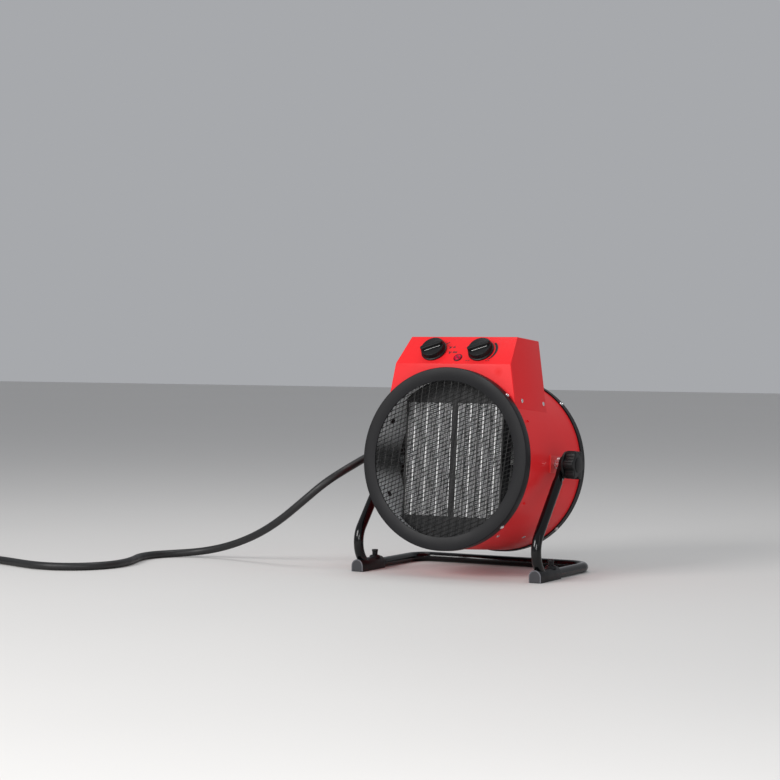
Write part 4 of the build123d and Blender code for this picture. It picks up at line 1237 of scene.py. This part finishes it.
class HEATER_OT_clamp_knobs(bpy.types.Operator):
    """Mould the two lobed clamp knobs"""

    bl_idname = "heater.clamp_knobs"
    bl_label = "Clamp knobs"

    def execute(self, context):
        pivot = Vector(joints["tilt"]["pos_m"])
        lobes, points = 6, 96
        for name, side in (("left", -1), ("right", 1)):
            low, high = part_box(f"{name}_clamp_knob")
            near = low.x if side > 0 else high.x
            depth = high.x - low.x
            knob = bmesh.new()
            turn_outline(
                knob,
                [
                    (0, 0), (0.0196, 0), (0.0205, 0.0006), (0.0205, 0.0034), (0.0190, 0.0044),
                    (0, 0.0044),
                ],
                72,
                closed=False,
            )
            round_edges(knob, 0.0004, 2, 25)
            star = bmesh.new()
            outline = [
                ((0.0198 + 0.0030 * math.cos(lobes * angle)) * math.cos(angle),
                 (0.0198 + 0.0030 * math.cos(lobes * angle)) * math.sin(angle))
                for angle in ring_of(points)
            ]
            extrude_outline(star, outline, 0.0046, depth - 0.0012)
            round_edges(star, 0.0018, 4, 50)
            join_shape(knob, star)
            cap = bmesh.new()
            turn_outline(cap, [(0, depth - 0.0015), (0.0118, depth - 0.0015), (0.0118, depth - 0.0006),
                               (0.0105, depth), (0, depth)], 48, closed=False)
            join_shape(knob, cap)
            for angle in ring_of(36):
                add_block(
                    knob, (0.0012, 0.0010, depth - 0.0100),
                    ((0.0200 + 0.0030 * math.cos(lobes * angle)) * math.cos(angle),
                     (0.0200 + 0.0030 * math.cos(lobes * angle)) * math.sin(angle), depth / 2 + 0.0020),
                    angle, 0.0003,
                )
            outward = across * side
            place = axes_at(Vector((near, pivot.y, pivot.z)), up.cross(outward), up, outward)
            piece(f"{name}_clamp_grip", knob, "black_plastic", f"{name}_clamp", place, [f"{name}_clamp_knob"])
        return {"FINISHED"}


class HEATER_OT_feet(bpy.types.Operator):
    """Mould the two front feet, each with a raised rim at its front and a thumb bolt"""

    bl_idname = "heater.feet"
    bl_label = "Feet"

    def execute(self, context):
        sizes = context.scene.heater_sizes
        for name in ("left", "right"):
            low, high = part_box(f"{name}_foot")
            bolt_low, bolt_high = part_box(f"{name}_foot_bolt")
            middle = (low.x + high.x) / 2
            half = (high.x - low.x) / 2
            shoulder = 0.0090
            arch = [(half, 0.0)]
            steps = 20
            for step in range(steps + 1):
                angle = math.pi * step / steps
                arch.append((half * math.cos(angle), shoulder + half * math.sin(angle)))
            arch.append((-half, 0.0))
            foot = bmesh.new()
            extrude_outline(foot, arch, 0.0, high.y - low.y)
            round_edges(foot, sizes.foot_edge, 3, 40)
            bolt_y = (bolt_low.y + bolt_high.y) / 2
            boss = bmesh.new()
            turn_outline(
                boss,
                [(0, 0.0165), (0.0092, 0.0165), (0.0086, 0.0190), (0.0070, 0.0208), (0, 0.0210)],
                40,
                closed=False,
            )
            stand_up = Matrix(((1, 0, 0, middle), (0, 0, 1, low.y), (0, 1, 0, 0), (0, 0, 0, 1)))
            bmesh.ops.transform(foot, matrix=stand_up, verts=foot.verts)
            bmesh.ops.recalc_face_normals(foot, faces=foot.faces)
            join_shape(foot, boss, Matrix.Translation((middle, bolt_y, 0)))
            # Painted light: the foot's front face is given a lighter grey than the rest of its black moulding
            face = bmesh.new()
            face_arch = [(x * 0.86, y * 0.92 + 0.0008) for x, y in arch]
            extrude_outline(face, face_arch, -0.0003, 0.0010)
            piece(f"{name}_foot_face", face, "lit_foot_face", "stand", stand_up)
            # Painted highlight: the raised rim round the face is coloured far paler than the black moulding
            rim = bmesh.new()
            thick, shrink, lift = 0.0013, 0.97, 0.0004
            bow = [(x * shrink, y * shrink + lift) for x, y in arch]
            inside = [
                (x * shrink * (half - thick) / half, y * shrink + lift - thick * (y > shoulder))
                for x, y in arch
            ]
            extrude_outline(rim, [*bow, *reversed(inside)], -0.0006, 0.0010)
            piece(f"{name}_foot_rim", rim, "painted_rim_highlight", "stand", stand_up)
            piece(f"{name}_foot_block", foot, "black_plastic", "stand", None, [f"{name}_foot"], 32.0)
            bolt = bmesh.new()
            top = bolt_high.z
            turn_outline(
                bolt,
                [
                    (0, 0.0205), (0.0042, 0.0205), (0.0042, top - 0.0040), (0.0048, top - 0.0034),
                    (0.0048, top - 0.0004), (0.0030, top - 0.0004), (0.0026, top - 0.0018),
                    (0, top - 0.0018),
                ],
                36, closed=False,
            )
            round_edges(bolt, 0.0003, 2, 25)
            bolt_place = Matrix.Translation((middle, bolt_y, 0))
            piece(f"{name}_thumb_bolt", bolt, "black_plastic", "stand", bolt_place,
                  [f"{name}_foot_bolt"], 32.0)
        return {"FINISHED"}


class HEATER_OT_plain_parts(bpy.types.Operator):
    """Coat the parts that keep their shape: drum, rings, stand, fan, motor and what the box holds"""

    bl_idname = "heater.plain_parts"
    bl_label = "Plain parts"

    def execute(self, context):
        paint_nodes("drum_paint", "drum_shell")
        paint_nodes("screw_paint", "liner_screws")
        paint_nodes("red_paint", "back_cover", "pivot_pads")
        paint_nodes("ring_coat", "rear_ring")
        paint_nodes("mesh_coat", "rear_grille")
        paint_nodes("stand_coat", "left_leg", "right_leg", "base_tube")
        paint_nodes("liner_steel", "heat_liner")
        paint_nodes("element_metal", "left_element_plates", "right_element_plates")
        paint_nodes("baffle_coat", "element_frame", "upper_baffle", "lower_baffle")
        paint_nodes("bare_aluminium", "fan_wheel")
        paint_nodes("motor_coat", "fan_motor")
        paint_nodes(
            "zinc_plate", "fan_shaft", "motor_bracket", "motor_screws", "back_cover_screws", "pivot_studs",
            "pivot_nuts", "friction_washers", "selector_spindle", "thermostat_spindle",
        )
        paint_nodes("pale_moulding", "selector_switch", "thermostat_body", "terminal_block", "thermal_cutout")
        paint_nodes("copper", "thermostat_capillary")
        return {"FINISHED"}


class HEATER_PT_panel(bpy.types.Panel):
    """Lists the heater's pieces"""

    bl_label = "Ceramic drum heater"
    bl_idname = "HEATER_PT_panel"
    bl_space_type = "VIEW_3D"
    bl_region_type = "UI"
    bl_category = "Heater"

    def draw(self, context):
        for group in (context.scene.heater_sizes, context.scene.heater_colours):
            box = self.layout.box()
            for name in group.__annotations__:
                box.prop(group, name)
        for operator in operators:
            self.layout.operator(operator.bl_idname)


operators = (
    HEATER_OT_stage, HEATER_OT_plain_parts, HEATER_OT_gland, HEATER_OT_plug, HEATER_OT_lead,
    HEATER_OT_front_ring, HEATER_OT_mesh, HEATER_OT_elements, HEATER_OT_control_box,
    HEATER_OT_panel_knobs, HEATER_OT_panel_marks, HEATER_OT_fasteners, HEATER_OT_clamp_knobs,
    HEATER_OT_feet,
)
classes = (HeaterSizes, HeaterColours, *operators, HEATER_PT_panel)


def register():
    """Registers the classes and puts their settings on the scene."""
    for item in classes:
        bpy.utils.register_class(item)
    bpy.types.Scene.heater_sizes = PointerProperty(type=HeaterSizes)
    bpy.types.Scene.heater_colours = PointerProperty(type=HeaterColours)


def unregister():
    """Takes the settings and the classes away again."""
    del bpy.types.Scene.heater_sizes
    del bpy.types.Scene.heater_colours
    for item in reversed(classes):
        bpy.utils.unregister_class(item)


def main():
    """Makes every piece in order."""
    register()
    bpy.ops.heater.stage()
    bpy.ops.heater.plain_parts()
    bpy.ops.heater.gland()
    bpy.ops.heater.plug()
    bpy.ops.heater.lead()
    bpy.ops.heater.front_ring()
    bpy.ops.heater.mesh()
    bpy.ops.heater.elements()
    bpy.ops.heater.control_box()
    bpy.ops.heater.panel_knobs()
    bpy.ops.heater.panel_marks()
    bpy.ops.heater.fasteners()
    bpy.ops.heater.clamp_knobs()
    bpy.ops.heater.feet()


if __name__ == "__main__":
    main()
